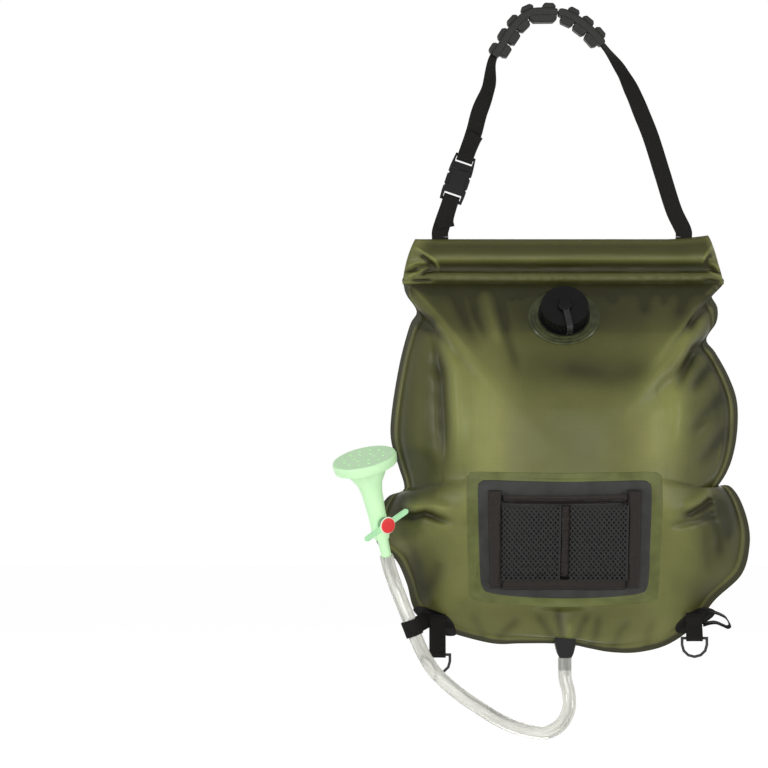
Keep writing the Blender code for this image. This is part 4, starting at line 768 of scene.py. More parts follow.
# Painted shade of the header by row: height, amount; darkest in the groove and under the weld band, the rod's ridge
# barely brightened
HEADER_PAINTED_SHADING = (
    (238.0, -1.0), (241.0, -0.7), (245.0, -1.25), (252.0, -1.15), (255.5, -0.6), (258.5, 0.1), (261.0, -0.8),
    (264.0, -1.6), (268.0, -1.6), (270.5, -1.6), (272.5, -0.9), (275.0, -0.6), (278.5, -0.8), (280.5, -1.5),
    (283.5, -1.6),
)


def header_ends(y):
    """Left and right ends of the header at a height in the photograph."""
    share = (y - HEADER_ROWS[0][0]) / 45
    return 415.5 - 13 * share ** 0.8 - 1.5 * math.sin(share * math.pi), 710 + 16.5 * share ** 0.7


def header_skin(side, values):
    """Points and tones of one side of the header, rows from the top fold down to the welded foot; the tones are
    painted shade by row and by fold.
    """
    rows = []
    heights, depths = zip(*HEADER_ROWS)
    tones = []
    lines = np.interp(np.linspace(0, 1, 64), np.linspace(0, 1, len(heights)), heights)
    for y in lines:
        left, right = header_ends(y)
        share = np.linspace(0, 1, HEADER_COLUMNS)
        x = (left + (right - left) * share - ORIGIN[0]) * PIXEL
        level = np.full_like(x, spot(0, y)[1])
        # The right end of the top stands up, the foot hangs in the middle
        z = level + 0.0045 * np.clip((share - 0.86) / 0.14, 0, 1) ** 1.5 * np.clip((262 - y) / 24, 0, 1)
        z -= 0.0012 * np.sin(share * math.pi) * np.clip((y - 262) / 18, 0, 1)
        depth = np.interp(y, heights, depths) / 1000 * values.fullness
        # The roll flattens towards both ends
        inset = np.minimum(x - x[0], x[-1] - x)
        flat = np.clip(np.where(share < 0.5, inset / 0.026, inset / 0.010), 0, 1)
        flat = flat * flat * (3 - 2 * flat)
        rim = np.clip(inset / 0.004, 0, 1) ** 0.5
        tuck = 0.0035 + (depth - 0.0035) * flat if depth > 0.0035 else np.full_like(x, depth)
        offset = 0.0008 + (tuck - 0.0008) * rim
        offset += 0.0006 * flat * ripple(x, z * 2.2, 0.05, 3 + side) * (depth > 0.003)
        folds = fold_heights(x, level, HEADER_FOLDS)
        offset += rim * folds
        # Painted shade by row where the roll is full, and painted shade and highlight by the folds
        tones.append(np.interp(y, *zip(*HEADER_PAINTED_SHADING)) * flat + folds / 0.0013)
        # Press marks along the weld
        weld = np.exp(-((y - 277) / 5) ** 2)
        offset += 0.0005 * weld * np.sin(x * 2 * math.pi / 0.019 + 3 * np.sin(x * 40))
        rows.append(np.stack((x, side * np.maximum(offset, 0.0004), z), axis=1))
    return rows, tones


class HeaderSettings(bpy.types.PropertyGroup):
    """Header."""
    fullness: amount("Fullness", "Depth of the header's roll, as a share of the real one", 1.0, 0.3)


def grid_into(mesh, rows, flip=False):
    """Faces between rows of points; returns the vertices."""
    made = [[mesh.verts.new(point) for point in row] for row in rows]
    for first, second in zip(made, made[1:]):
        for i in range(len(first) - 1):
            corners = (first[i], first[i + 1], second[i + 1], second[i])
            mesh.faces.new(corners[::-1] if flip else corners)
    return made


class BAG_OT_header(bpy.types.Operator):
    """Make the rolled header with its rod puff, groove, weld band and pinched ends"""
    bl_idname = "shower_bag.header"
    bl_label = "Header"

    def execute(self, context):
        values = props().header
        mesh = bmesh.new()
        # The tone layer named fold carries the header's painted shade
        layer = mesh.verts.layers.float.new("fold")
        for side in (-1, 1):
            rows, tones = header_skin(side, values)
            for line, shades in zip(grid_into(mesh, rows, side > 0), tones):
                for corner, shade in zip(line, shades):
                    corner[layer] = shade
        bmesh.ops.bridge_loops(mesh, edges=[edge for edge in mesh.edges if edge.is_boundary])
        header = finish_mesh("header_roll", outward(mesh), 180)
        dress(header, bpy.data.materials["olive_cloth"], "olive_fabric", "header_sleeve")
        return {"FINISHED"}


# Finishes

def webbing_surface(name, colour, rib=0.0014):
    """Woven tape: ribs across its length and fine lines along it, on its own UV map in metres."""
    made, tree, shader = plain_material(name, colour, 0.8, Specular_IOR_Level=0.12)
    colour = np.array(colour)
    place = add(tree, "ShaderNodeUVMap", uv_map="weave").outputs["UV"]
    bands = (("Y", rib, 1 / 2.2, 0), ("X", rib * 0.8, 0.7 / 2.2, 0), ("DIAGONAL", rib * 1.7, 0.5 / 2.2, 0))
    height = woven(tree, place, bands, distortion=0.6)
    put(tree, shader, Normal=bump(tree, height, 0.8, 0.0003),
        Base_Color=ramp(tree, height, (0, colour * 0.55), (1, colour * 1.9)))
    return made


def clear_film(name, colour):
    """Glossy weld film over the cloth, with slow ripples."""
    return mottled(name, colour, 0.3, 90.0, 3.0, ((0.35, 0.7), (0.65, 1.3)), 0.25, 0.0006,
                   Specular_IOR_Level=0.22)


def rubbery(name, colour, roughness=0.5):
    """Rubber-coated cloth: a faint weave under the coat, and slow patches of gloss."""
    made, tree, shader = plain_material(name, colour, roughness, Specular_IOR_Level=0.15)
    colour = np.array(colour)
    place = add(tree, "ShaderNodeTexCoord").outputs["Object"]
    height = woven(tree, place, [(axis, 0.0007, 0.5, 0) for axis in "XZ"], distortion=0.4)
    slow = grain(tree, 45.0, 3.0)
    put(tree, shader, Normal=bump(tree, height, 0.35, 0.0001),
        Base_Color=ramp(tree, slow, (0.3, colour * 0.8), (0.7, colour * 1.2)),
        Roughness=ranged(tree, slow, roughness * 0.8, roughness * 1.25))
    return made


# Straps: for each direction of the width in turn, the stations that have it, in millimetres
STRAPS = {
    "main_webbing": (
        ((1, 0, 0), (
            (165.6, 0, -256.8), (165.6, 0, -250.7), (154.1, 0, -225.6), (139.7, 0, -180), (125.3, 0, -134.4),
            (115.2, 0, -108.9),
        )),
        ((0.97, 0.25, 0), ((104.7, 0, -83.7),)),
        ((0.8, 0.6, 0), ((90.5, 0, -56),)),
        ((0.5, 0.87, 0), ((69.6, 0, -27),)),
        ((0, 1, 0), (
            (56.6, 0, -11.3), (44.9, 0, -0.4), (31, 0, 9.1), (15, 0, 14.5), (-22.4, 0, 14.5), (-33.4, 0, 4.7),
            (-44, 0, -8.6), (-53.8, 0, -23.8),
        )),
        ((0.5, 0.87, 0), ((-65.5, 0, -41.9),)),
        ((0.8, 0.6, 0), ((-70.1, 0, -74.8),)),
        ((1, 0, 0), ((-81.9, 0, -107),)),
        ((0.95, 0, -0.32), (
            (-87.7, 0, -129.2), (-95.4, 0, -151.9), (-97.1, 3.4, -156.6), (-99.7, 3.4, -164.6), (-99.7, -3.4, -164.6),
            (-97.1, -3.4, -156.6), (-94.6, -2.1, -149.9),
        )),
        ((0.93, -0.05, -0.36), ((-89.5, -2.2, -138.5),)),
        ((0.9, -0.15, -0.4), ((-86.0, -4.2, -132.6),)),
    ),
    "lower_webbing": (
        ((1, 0, 0), ((-129, 0, -256.8), (-129, 0, -250.7))),
        ((0.95, 0, -0.32), (
            (-118.9, 0, -220.3), (-117.3, 3.4, -215.5), (-114.6, 3.4, -207.6), (-114.6, -3.4, -207.6),
            (-117.3, -3.4, -215.5), (-119.4, -2.1, -222.3),
        )),
        ((0.95, -0.05, -0.3), ((-122.8, -2.3, -237),)),
        ((0.95, -0.12, -0.2), ((-121.5, -4.4, -245.5),)),
    ),
    "ring_tab_left": (
        ((1, 0, 0), (
            (-132, 7.2, -714), (-132, 14.3, -720.7), (-132, 3.9, -758.4), (-132, 2.8, -762.4), (-132, 4, -764.5),
            (-132, 6.3, -765.1), (-132, 8.4, -763.9), (-132, 9, -761.6), (-132, 7.3, -753.3), (-132, 8, -750.5),
        )),
    ),
    "ring_tab_right": (
        ((1, 0, 0), (
            (179, 6.8, -712), (179, 12.2, -718.7), (179, 3.3, -738.2), (179, 1.6, -741.9), (179, 2.4, -744.2),
            (179, 4.6, -745.1), (179, 6.9, -744.3), (179, 7.9, -742.1), (179, 7.3, -733.6), (179, 8.5, -731),
        )),
    ),
    "hose_loop": (
        ((-0.36, 0, 0.93), (
            (-146.7, 19.4, -721.3), (-159.7, -12.6, -726.3), (-166.5, -13.6, -728.8), (-171.7, -19, -730.8),
            (-171.8, -26.7, -730.9), (-166.8, -32.3, -728.9), (-159.5, -32.4, -726.2), (-154.3, -27, -724.2),
            (-154.2, -19.3, -724.1), (-158.1, -13.3, -725.6), (-145.1, 18.7, -720.7),
        )),
    ),
    "spare_loop": (
        ((0, 1, 0.1), (
            (188, 21, -709), (196, 21, -709.5), (204, 20, -711.5), (212, 19, -714.4), (218.2, 18, -718.2),
            (222, 18, -724), (223, 18, -728), (220.5, 18, -729.6), (214.8, 18, -727.4), (206.4, 19, -724.2),
            (199, 20, -724.6), (191, 21, -727),
        )),
    ),
    "strap_root_left": (
        ((1, 0, 0), (
            (-129, 0, -256.7), (-129, 0, -265.2), (-129, -4.6, -266.9), (-129, -8.6, -273.9), (-129, -8.6, -285.9),
        )),
    ),
    "strap_root_right": (
        ((1, 0, 0), (
            (165.6, 0, -256.7), (165.6, 0, -265.2), (165.6, -4.6, -266.9), (165.6, -8.6, -273.9),
            (165.6, -8.6, -285.9),
        )),
    ),
}


def eased_line(points, step):
    """Smooth curve through uneven stations, as evenly spaced places of (segment, share)."""
    spots = np.array(points, float)
    ends = np.vstack((2 * spots[0] - spots[1], spots, 2 * spots[-1] - spots[-2]))
    found, keys = [], []
    for i in range(len(spots) - 1):
        a, b, c, d = ends[i:i + 4]
        knots = [0.0]
        for first, second in ((a, b), (b, c), (c, d)):
            knots.append(knots[-1] + max(np.linalg.norm(second - first), 1e-6) ** 0.5)
        count = max(2, int(np.linalg.norm(c - b) / step) + 1)
        for share in np.linspace(0, 1, count, endpoint=False):
            t = knots[1] + (knots[2] - knots[1]) * share
            ab = a + (b - a) * (t - knots[0]) / (knots[1] - knots[0])
            bc = b + (c - b) * (t - knots[1]) / (knots[2] - knots[1])
            cd = c + (d - c) * (t - knots[2]) / (knots[3] - knots[2])
            abc = ab + (bc - ab) * (t - knots[0]) / (knots[2] - knots[0])
            bcd = bc + (cd - bc) * (t - knots[1]) / (knots[3] - knots[1])
            found.append(abc + (bcd - abc) * (t - knots[1]) / (knots[2] - knots[1]))
            keys.append(i + share)
    found.append(spots[-1])
    keys.append(len(spots) - 1)
    return np.array(found), np.array(keys)


FLAT_SECTION = (
    (-1, 0), (-0.985, 0.7), (-0.93, 1), (-0.5, 0.92), (0, 0.9), (0.5, 0.92), (0.93, 1), (0.985, 0.7), (1, 0),
)
RIBBED_SECTION = (
    (-1, 0), (-1, 1.5), (-0.85, 2.0), (-0.65, 1.7), (-0.5, 0.8), (0.5, 0.8), (0.65, 1.7), (0.85, 2.0), (1, 1.5),
    (1, 0),
)


def strap_mesh(courses, width, thick, step=0.002, half=FLAT_SECTION):
    """A flat strap with rounded or ribbed edges, its UV map in metres."""
    stations = [(point, side) for side, points in courses for point in points]
    line, keys = eased_line([[c / 1000 for c in point] for point, _ in stations], step)
    sides = np.array([side for _, side in stations], float)
    section = [*half, *((a, -b) for a, b in half[-2:0:-1])]
    along = lengths_along(line)
    rows = []
    for i, point in enumerate(line):
        forward = direction(line, i)
        low = min(int(keys[i]), len(sides) - 2)
        share = keys[i] - low
        share = share * share * (3 - 2 * share)
        across = sides[low] * (1 - share) + sides[low + 1] * share
        across = across - forward * across.dot(forward)
        across /= np.linalg.norm(across)
        face = np.cross(forward, across)
        rows.append([point + across * a * width / 2 + face * b * thick / 2 for a, b in section])
    return wrapped(rows, lambda row, column: (section[column % len(section)][0] * width / 2, along[row]))


class StrapSettings(bpy.types.PropertyGroup):
    """Webbing."""
    width: length("Width", "Width of the webbing", 0.020, 0.005)
    thickness: length("Thickness", "Thickness of the webbing", 0.0016, 0.0005)
    colour: tint("Colour", "Colour of the webbing", (0.012, 0.0115, 0.0105))


class BAG_OT_straps(bpy.types.Operator):
    """Make the webbing of the handle, its stitched roots, the ring tabs and the two loops"""
    bl_idname = "shower_bag.straps"
    bl_label = "Webbing"

    def execute(self, context):
        values = props().straps
        surface = webbing_surface("black_webbing", values.colour)
        for name, courses in STRAPS.items():
            mesh = strap_mesh(courses, values.width, values.thickness)
            body = "handle" if name in ("main_webbing", "lower_webbing") else "bag"
            dress(finish_mesh(name + "_woven", mesh, 50), surface, "black_webbing", name, body=body)
        return {"FINISHED"}


# Pieces that lie on the bag

def front_tree(*names, bag=True):
    """The filled bag and the named frame solids, for finding the front of what carries a piece."""
    corners, faces = [], []
    if bag:
        body = bpy.data.objects["bag_body"].data
        corners = [vertex.co.copy() for vertex in body.vertices]
        faces = [tuple(face.vertices) for face in body.polygons]
    for name in names:
        node = frame["nodes"][name]
        start = len(corners)
        corners += [node.matrix_world @ vertex.co for vertex in node.data.vertices]
        faces += [tuple(start + index for index in face.vertices) for face in node.data.polygons]
    return BVHTree.FromPolygons(corners, faces)


def front_y(tree, x, z, reach=0.0025, most=False):
    """Front of what is there, evened over its neighbours, or the most forward of them; the weld where nothing is."""
    found = []
    for across, up in ((0, 0), (reach, 0), (-reach, 0), (0, reach), (0, -reach)):
        hit = tree.ray_cast(Vector((x + across, -1, z + up)), Vector((0, 1, 0)))[0]
        if hit:
            found.append(hit.y)
    if not found:
        return float(seam_y(np.array(z))) - 0.001
    return min(found) if most else sum(found) / len(found)


def laid_pad(outline, tree, lift, rim=0.0015, ridges=0.0, hole=0.0):
    """A thin sheet laid on the front inside a closed outline, with a rounded rim; its UV map in metres."""
    edge = np.array(outline)
    centre = edge.mean(axis=0)
    size = np.linalg.norm(edge - centre, axis=1).mean()
    tall = np.divide(*np.abs(edge - centre).max(axis=0))
    inner = np.linspace(1 - 1.6 * rim / size, hole, max(8, int(size * (1 - hole) / 0.0012)))
    turns = (1 - inner) * size / 0.0042
    raised = ridges * np.clip((inner - 0.62) / 0.1, 0, 1) * (0.5 - 0.5 * np.cos(turns * 2 * math.pi))
    shares = [1.0, 1.0, 1 - 0.3 * rim / size, 1 - rim / size, *inner]
    lifts = [-0.001, lift * 0.5, lift * 0.88, lift, *(lift + raised)]
    mesh = bmesh.new()
    layer = mesh.loops.layers.uv.new("weave")
    loops = []
    for share, height in zip(shares, lifts):
        spots = centre + (edge - centre) * share if share > 0 else [centre]
        loops.append([mesh.verts.new((x, front_y(tree, x, z) - height, z)) for x, z in spots])
    bridge(mesh, loops)
    mesh.faces.new(loops[0])
    if hole > 0:
        mesh.faces.new(loops[-1])
    for face in mesh.faces:
        for loop in face.loops:
            loop[layer].uv = (loop.vert.co.x - centre[0], (loop.vert.co.z - centre[1]) * tall)
    return outward(mesh)


def course(line, widths, spread):
    """Distances, places and widths along a line of the photograph, at what spread gives for its length."""
    spots = np.array([spot(*point) for point in line])
    lengths = lengths_along(spots)
    along = spread(lengths[-1])
    x, z = (np.interp(along, lengths, spots[:, k]) for k in (0, 1))
    return along, x, z, np.interp(along, lengths, np.array(widths) * PIXEL)


def laid_strip(line, widths, tree, lift, puff, gather=0.0):
    """A rounded binding laid on the front along a line of the photograph; its UV map in metres."""
    along, x, z, width = course(line, widths, lambda end: np.append(np.arange(0, end, 0.0011), end))
    section = [(-1, -0.001, 0)] + [(u, 1, 1) for u in np.linspace(-1, 1, 15)] + [(1, -0.001, 0)]
    places = np.stack((x, z), axis=1)
    rows = []
    for i in range(len(along)):
        forward = direction(places, i)
        ends = min(1, min(along[i], along[-1] - along[i]) / 0.0015) ** 0.5
        rough = gather * (noise.noise(Vector((along[i] * 420, width[i] * 50, 0))) + 0.6 * math.sin(along[i] * 1900))
        row = []
        for u, rise, top in section:
            px = x[i] + forward[1] * u * width[i] / 2
            pz = z[i] - forward[0] * u * width[i] / 2
            height = lift + (puff + rough) * math.sqrt(max(0, 1 - u * u)) * ends if top else rise
            row.append((px, front_y(tree, px, pz) - height, pz))
        rows.append(row)
    return wrapped(rows, lambda row, column: (section[column % len(section)][0] * width[row] / 2, along[row]))


def oval(x, y, wide, tall, count=120):
    """Closed outline round a place of the photograph."""
    turns = np.linspace(0, 2 * math.pi, count, endpoint=False)
    return [spot(x + wide * math.cos(turn), y + tall * math.sin(turn)) for turn in turns]


class FilmSettings(bpy.types.PropertyGroup):
    """Weld discs."""
    colour: tint("Colour", "Colour of the clear green weld film", (0.058, 0.066, 0.026))
    ridges: length("Ridges", "Height of the turned rings of a disc", 0.0006)


class BAG_OT_discs(bpy.types.Operator):
    """Make the ringed weld discs under the filler and the outlet"""
    bl_idname = "shower_bag.discs"
    bl_label = "Weld discs"

    def execute(self, context):
        values = props().film
        surface = clear_film("green_weld_film", values.colour)
        tree = front_tree("filler_flange")
        mesh = laid_pad(oval(564, 316.5, 36, 28.5), tree, 0.0010, ridges=values.ridges, hole=0.45)
        dress(finish_mesh("filler_disc", mesh, 50), surface, "green_weld_disc", "filler_flange")
        tree = front_tree("outlet_flange", bag=False)
        mesh = laid_pad(oval(566, 624, 15.5, 15), tree, 0.0007)
        dress(finish_mesh("outlet_disc", mesh, 50), surface, "green_weld_disc", "outlet_flange")
        return {"FINISHED"}


# Outlines of the corner patches, as places in the photograph
PATCHES = {
    "patch_left": (
        (413.5, 612), (418, 609.5), (424, 609.6), (432, 611.8), (441, 615), (448, 619), (453, 624.5), (456, 631),
        (457, 638), (450, 639.5), (441, 637), (431, 630.5), (422, 622), (416, 616.5),
    ),
    "patch_right": (
        (679, 632), (680.5, 627), (685, 622), (691, 617), (698, 613), (706, 610.5), (714, 611), (719.5, 614),
        (718, 619), (712, 624), (704, 629), (696, 634), (688, 636.5), (681.5, 636),
    ),
}


class BAG_OT_patches(bpy.types.Operator):
    """Make the two black patches that carry the webbing at the lower corners"""
    bl_idname = "shower_bag.patches"
    bl_label = "Corner patches"

    def execute(self, context):
        surface = rubbery("black_patch", [value * 0.8 for value in props().straps.colour])
        tree = front_tree()
        for name, outline in PATCHES.items():
            mesh = laid_pad(smooth_loop(outline, 110), tree, 0.0016)
            dress(finish_mesh(name + "_welded", mesh, 50), surface, "black_webbing", name)
        return {"FINISHED"}


# Pocket

POCKET_BACK = (
    (486, 479.2), (520, 480), (565, 480.8), (610, 480), (640, 479.5), (646.5, 482), (649, 489), (649, 530),
    (648.5, 575), (647, 588), (640, 593.5), (610, 597), (565, 598.7), (520, 597), (489, 593), (482.5, 587),
    (480, 575), (478, 530), (477, 488), (479.5, 481.5),
)
POCKET_WELD = (
    (474, 471), (520, 471.5), (565, 472), (610, 471.5), (650, 471), (657, 474), (660, 481), (660, 540), (659, 594),
    (655, 601), (645, 604), (610, 606), (565, 607.5), (520, 606), (482, 603), (472, 599), (469, 590), (467, 540),
    (466, 481), (469, 474),
)
# Bindings: node, line, widths at its points, lift, puff and gather in millimetres
BINDINGS = (
    ("pocket_hem_bottom", ((499, 583.6), (530, 584.2), (562, 584.6), (595, 584.2), (627, 583.4)),
     (12, 12, 12, 12, 12), 0.5, 0.7, 0.2),
    ("pocket_hem_top", ((499, 499.6), (530, 500.3), (562, 500.4), (595, 499.6), (627, 498.4)),
     (11.5, 11.5, 11.5, 11.5, 11.5), 0.6, 0.6, 0.15),
    ("pocket_binding_left", ((493.3, 489.2), (494, 520), (495, 550), (496.4, 588)), (13, 13.4, 13.4, 13),
     0.7, 2.4, 0.35),
    ("pocket_binding_right", ((631.6, 488.4), (631.5, 520), (631.3, 550), (631, 587.6)), (14, 14.2, 14.2, 14),
     0.7, 1.6, 0.25),
    ("pocket_divider", ((561, 504), (564, 530), (565.5, 545), (563, 560), (560.5, 579.5)), (14, 11.5, 11, 12, 16),
     0.8, 2.2, 1.3),
)
NETS = (("pocket_net_left", 501.0, 558.0), ("pocket_net_right", 568.0, 625.0))


class PocketSettings(bpy.types.PropertyGroup):
    """Pocket."""
    backing: tint("Backing", "Colour of the rubbery backing", (0.052, 0.053, 0.050))
    binding: tint("Binding", "Colour of the bindings", (0.031, 0.027, 0.0245))
    netting: tint("Netting", "Colour of the net", (0.011, 0.0115, 0.0105))
    mesh_pitch: length("Mesh pitch", "Width of one hole of the net", 0.0056, 0.001)
    thread: length("Thread", "Radius of the net's thread", 0.00100, 0.0001)
    bulge: length("Bulge", "How far a net stands out between its bindings", 0.0030)
    stitch: length("Stitch", "Distance between stitches", 0.0024, 0.001)


class BAG_OT_pocket(bpy.types.Operator):
    """Make the welded pocket: backing, green weld, bindings, gathered divider, nets and stitches"""
    bl_idname = "shower_bag.pocket"
    bl_label = "Pocket"

    def execute(self, context):
        values = props().pocket
        tree = front_tree("pocket_panel")
        weld = rubbery("pocket_weld", (0.152, 0.170, 0.056), roughness=0.38)
        back = rubbery("pocket_rubber", values.backing)
        for name, outline, lift, surface, slot in (
                ("pocket_weld_band", POCKET_WELD, 0.0007, weld, "olive_fabric"),
                ("pocket_backing", POCKET_BACK, 0.0022, back, "pocket_backing")):
            mesh = laid_pad(smooth_loop(outline, 240), tree, lift)
            dress(finish_mesh(name, mesh, 50), surface, slot, "pocket_panel")
        tape = webbing_surface("pocket_tape", values.binding, 0.0011)
        seams = []
        for name, line, widths, *heights in BINDINGS:
            ground = front_tree("pocket_panel", name)
            mesh = laid_strip(line, widths, ground, *(height / 1000 for height in heights))
            strip = dress(finish_mesh(name + "_tape", mesh, 50), tape, "pocket_binding", name)
            if name != "pocket_divider":
                seams += [seam_line(strip, line, widths, share) for share in (-0.36, 0.36)]
        thread = plain_thread("pocket_thread", [value * 1.7 for value in values.binding])
        stitches = finish_mesh("pocket_stitches", stitched(seams, values.stitch, thread), 50)
        dress(stitches, thread, "pocket_binding", "pocket_hem_top")
        net = plain_thread("pocket_netting", values.netting)
        for name, left, right in NETS:
            threads = finish_mesh(name + "_threads", netting(name, left, right, values, net), 50)
            dress(threads, net, "pocket_binding", name)
        return {"FINISHED"}


def plain_thread(name, colour):
    """Twisted thread."""
    return mottled(name, colour, 0.7, 1500.0, 2.0, ((0, 0.6), (1, 1.5)), 0.5, 0.0001)


def seam_line(strip, line, widths, share):
    """Points on the face of a finished strip, at a share of its width beside its middle."""
    data = strip.data
    tree = BVHTree.FromPolygons([v.co for v in data.vertices], [tuple(f.vertices) for f in data.polygons])
    _, x, z, width = course(line, widths, lambda end: np.linspace(0.0015, end - 0.0015, 60))
    forward = np.stack((np.gradient(x), np.gradient(z)))
    forward /= np.linalg.norm(forward, axis=0)
    px, pz = x + forward[1] * share * width, z - forward[0] * share * width
    found = []
    for a, b in zip(px, pz):
        hit = tree.ray_cast(Vector((a, -1, b)), Vector((0, 1, 0)))[0]
        if hit:
            found.append((a, hit.y - 0.00012, b))
    return found


def edge_object(name, points, edges):
    data = bpy.data.meshes.new(name)
    data.from_pydata(points, edges, [])
    return link_object(name, data)


def line_object(name, lines):
    """Poly lines as a mesh of edges."""
    points, edges = [], []
    for line in lines:
        edges += [(len(points) + k, len(points) + k + 1) for k in range(len(line) - 1)]
        points += line
    return edge_object(name, points, edges)


def node_group(name, **inputs):
    """A geometry tree with a material input and the given lengths, and its two ends."""
    tree = bpy.data.node_groups.new(name, "GeometryNodeTree")
    tree.interface.new_socket("Geometry", in_out="INPUT", socket_type="NodeSocketGeometry")
    for label, value in inputs.items():
        tree.interface.new_socket(label, in_out="INPUT", socket_type="NodeSocketFloat").default_value = value
    tree.interface.new_socket("Material", in_out="INPUT", socket_type="NodeSocketMaterial")
    tree.interface.new_socket("Geometry", in_out="OUTPUT", socket_type="NodeSocketGeometry")
    return tree, tree.nodes.new("NodeGroupInput").outputs, tree.nodes.new("NodeGroupOutput")


def settled(obj, tree, **values):
    """Result of a geometry tree on an object, as a mesh for a new piece; the object is removed."""
    live = obj.modifiers.new("made", "NODES")
    live.node_group = tree
    for item in tree.interface.items_tree:
        if item.item_type == "SOCKET" and item.in_out == "INPUT" and item.name in values:
            live[item.identifier] = values[item.name]
    shown = bpy.context.evaluated_depsgraph_get()
    data = bpy.data.meshes.new_from_object(obj.evaluated_get(shown))
    mesh = bmesh.new()
    mesh.from_mesh(data)
    bpy.data.objects.remove(obj)
    return mesh


def finish_tree(tree, geometry, start, end):
    whole = add(tree, "GeometryNodeRealizeInstances", Geometry=geometry).outputs["Geometry"]
    paint = add(tree, "GeometryNodeSetMaterial", Geometry=whole, Material=start["Material"])
    put(tree, end, Geometry=paint.outputs["Geometry"])


def stitched(lines, pitch, surface):
    """Short stitches along lines."""
    radius = 0.0003
    tree, start, end = node_group("stitching", Pitch=0.0024, Thread=radius)
    curve = add(tree, "GeometryNodeMeshToCurve", Mesh=start["Geometry"]).outputs["Curve"]
    even = add(tree, "GeometryNodeResampleCurve", mode="LENGTH", Curve=curve, Length=start["Pitch"])
    ball = add(tree, "GeometryNodeMeshUVSphere", Segments=8, Rings=6, Radius=start["Thread"])
    stretch = add(tree, "GeometryNodeTransform", Geometry=ball.outputs["Mesh"], Scale=(0.8, 1.0, 2.9))
    tangent = add(tree, "GeometryNodeInputTangent").outputs["Tangent"]
    turn = add(tree, "FunctionNodeAlignRotationToVector", axis="Z", Vector=tangent)
    place = add(tree, "GeometryNodeInstanceOnPoints", Points=even.outputs["Curve"],
                Instance=stretch.outputs["Geometry"], Rotation=turn.outputs["Rotation"])
    finish_tree(tree, place.outputs["Instances"], start, end)
    return settled(line_object("stitch_lines", lines), tree, Pitch=pitch, Thread=radius, Material=surface)


def netting(name, left, right, values, surface):
    """Diamond net of round threads that bulges between its bindings."""
    tree, start, end = node_group(name + "_net", Thread=0.0004)
    curve = add(tree, "GeometryNodeMeshToCurve", Mesh=start["Geometry"]).outputs["Curve"]
    ring = add(tree, "GeometryNodeCurvePrimitiveCircle", mode="RADIUS", Resolution=5, Radius=start["Thread"])
    tube = add(tree, "GeometryNodeCurveToMesh", Curve=curve, Profile_Curve=ring.outputs["Curve"])
    finish_tree(tree, tube.outputs["Mesh"], start, end)
    return settled(net_object(name, left, right, values), tree, Thread=values.thread, Material=surface)


def net_object(name, left, right, values):
    """Edges of the net: crossing threads between two bindings, laid in front of the frame's net."""
    low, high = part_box(name)
    ground = front_tree(name)
    x0, z0 = spot(left, 579.5)
    x1, z1 = spot(right, 504.0)
    columns = int((x1 - x0) / values.mesh_pitch)
    rows = int((z1 - z0) / (values.mesh_pitch * 0.58))
    points, edges = [], []
    for r in range(rows + 1):
        for c in range(columns + 1):
            u = min(1, (c + 0.5 * (r % 2)) / columns)
            v = r / rows
            x, z = x0 + (x1 - x0) * u, z0 + (z1 - z0) * v
            inside = (min(max(x, low[0] + 0.001), high[0] - 0.001), min(max(z, low[2] + 0.001), high[2] - 0.001))
            front = min(front_y(ground, *inside, reach, most=True) for reach in (0.0021, 0.0036))
            slack = math.sin(math.pi * u) ** 0.6 * (0.25 + 0.75 * math.sin(math.pi * min(v, 0.86)) ** 0.8)
            sag = 0.0010 * noise.noise(Vector((x * 60, 0, z * 60)))
            points.append((x, front - 0.0006 - values.bulge * slack - sag, z))
            if r < rows:
                up = (r + 1) * (columns + 1) + c
                aside = 1 if r % 2 else -1
                edges.append((len(points) - 1, up))
                if 0 <= c + aside <= columns:
                    edges.append((len(points) - 1, up + aside))
    return edge_object(name, points, edges)


# Moulded pieces: slot, name of the finish, colour, roughness, edge in metres, nodes
MOULDED = (
    ("black_plastic", "black_plastic", (0.0075, 0.0075, 0.0072), 0.26, 0.0005, (
        "buckle_female", "buckle_male", "latch_arm_left", "latch_arm_right", "filler_cap", "cap_boss",
        "tether_ring", "outlet_hood", "outlet_barb", "cap_seal")),
    ("black_plastic", "seal_rubber", (0.30, 0.50, 0.30), 0.5, 0.0003, ("valve_seal",)),
    ("black_plastic", "ring_plastic", (0.030, 0.030, 0.030), 0.36, 0.0004, ("d_ring_left", "d_ring_right")),
    ("green_weld_disc", "neck_plastic", (0.10, 0.115, 0.055), 0.25, 0.0004, ("filler_neck",)),
    ("mint_plastic", "mint_plastic", (0.66, 1.0, 0.60), 0.36, 0.0008, ("head_body", "head_face")),
    ("mint_plastic", "lever_plastic", (0.48, 0.88, 0.50), 0.36, 0.0006, ("valve_plug",)),
    ("red_plastic", "red_plastic", (1.0, 0.055, 0.055), 0.28, 0.0006, ("valve_button",)),
    ("rod_plastic", "rod_plastic", (0.30, 0.30, 0.30), 0.45, 0.0004, ("header_rod",)),
)
# Grip sleeves: node, line in millimetres, then (place along it, length) of the outer lugs and of the inner blocks
GRIPS = (
    ("grip_sleeve_right", ((67.4, -24.4), (56.6, -11.3), (44.9, -0.6), (31, 8.8), (22, 12.9), (13.8, 14.5)),
     ((13.0, 16.0), (32.0, 16.0), (51.5, 15.0)), ((13.5, 19.0), (34.0, 18.0), (54.0, 17.0))),
    ("grip_sleeve_left", ((12.6, 14.5), (-5, 15.2), (-21, 13.2), (-33.4, 4.4), (-44, -8.6), (-53.8, -23.8),
                          (-63.5, -38.9)),
     ((10.5, 16.0), (34.5, 16.0), (54.5, 16.0), (74.0, 16.0), (94.0, 14.0)),
     ((17.5, 33.0), (50.0, 17.0), (70.5, 17.0), (89.5, 15.5))),
)
# Half depths across the band, in millimetres
LUG_DEPTH = 10.5
BLOCK_DEPTH = 11.6
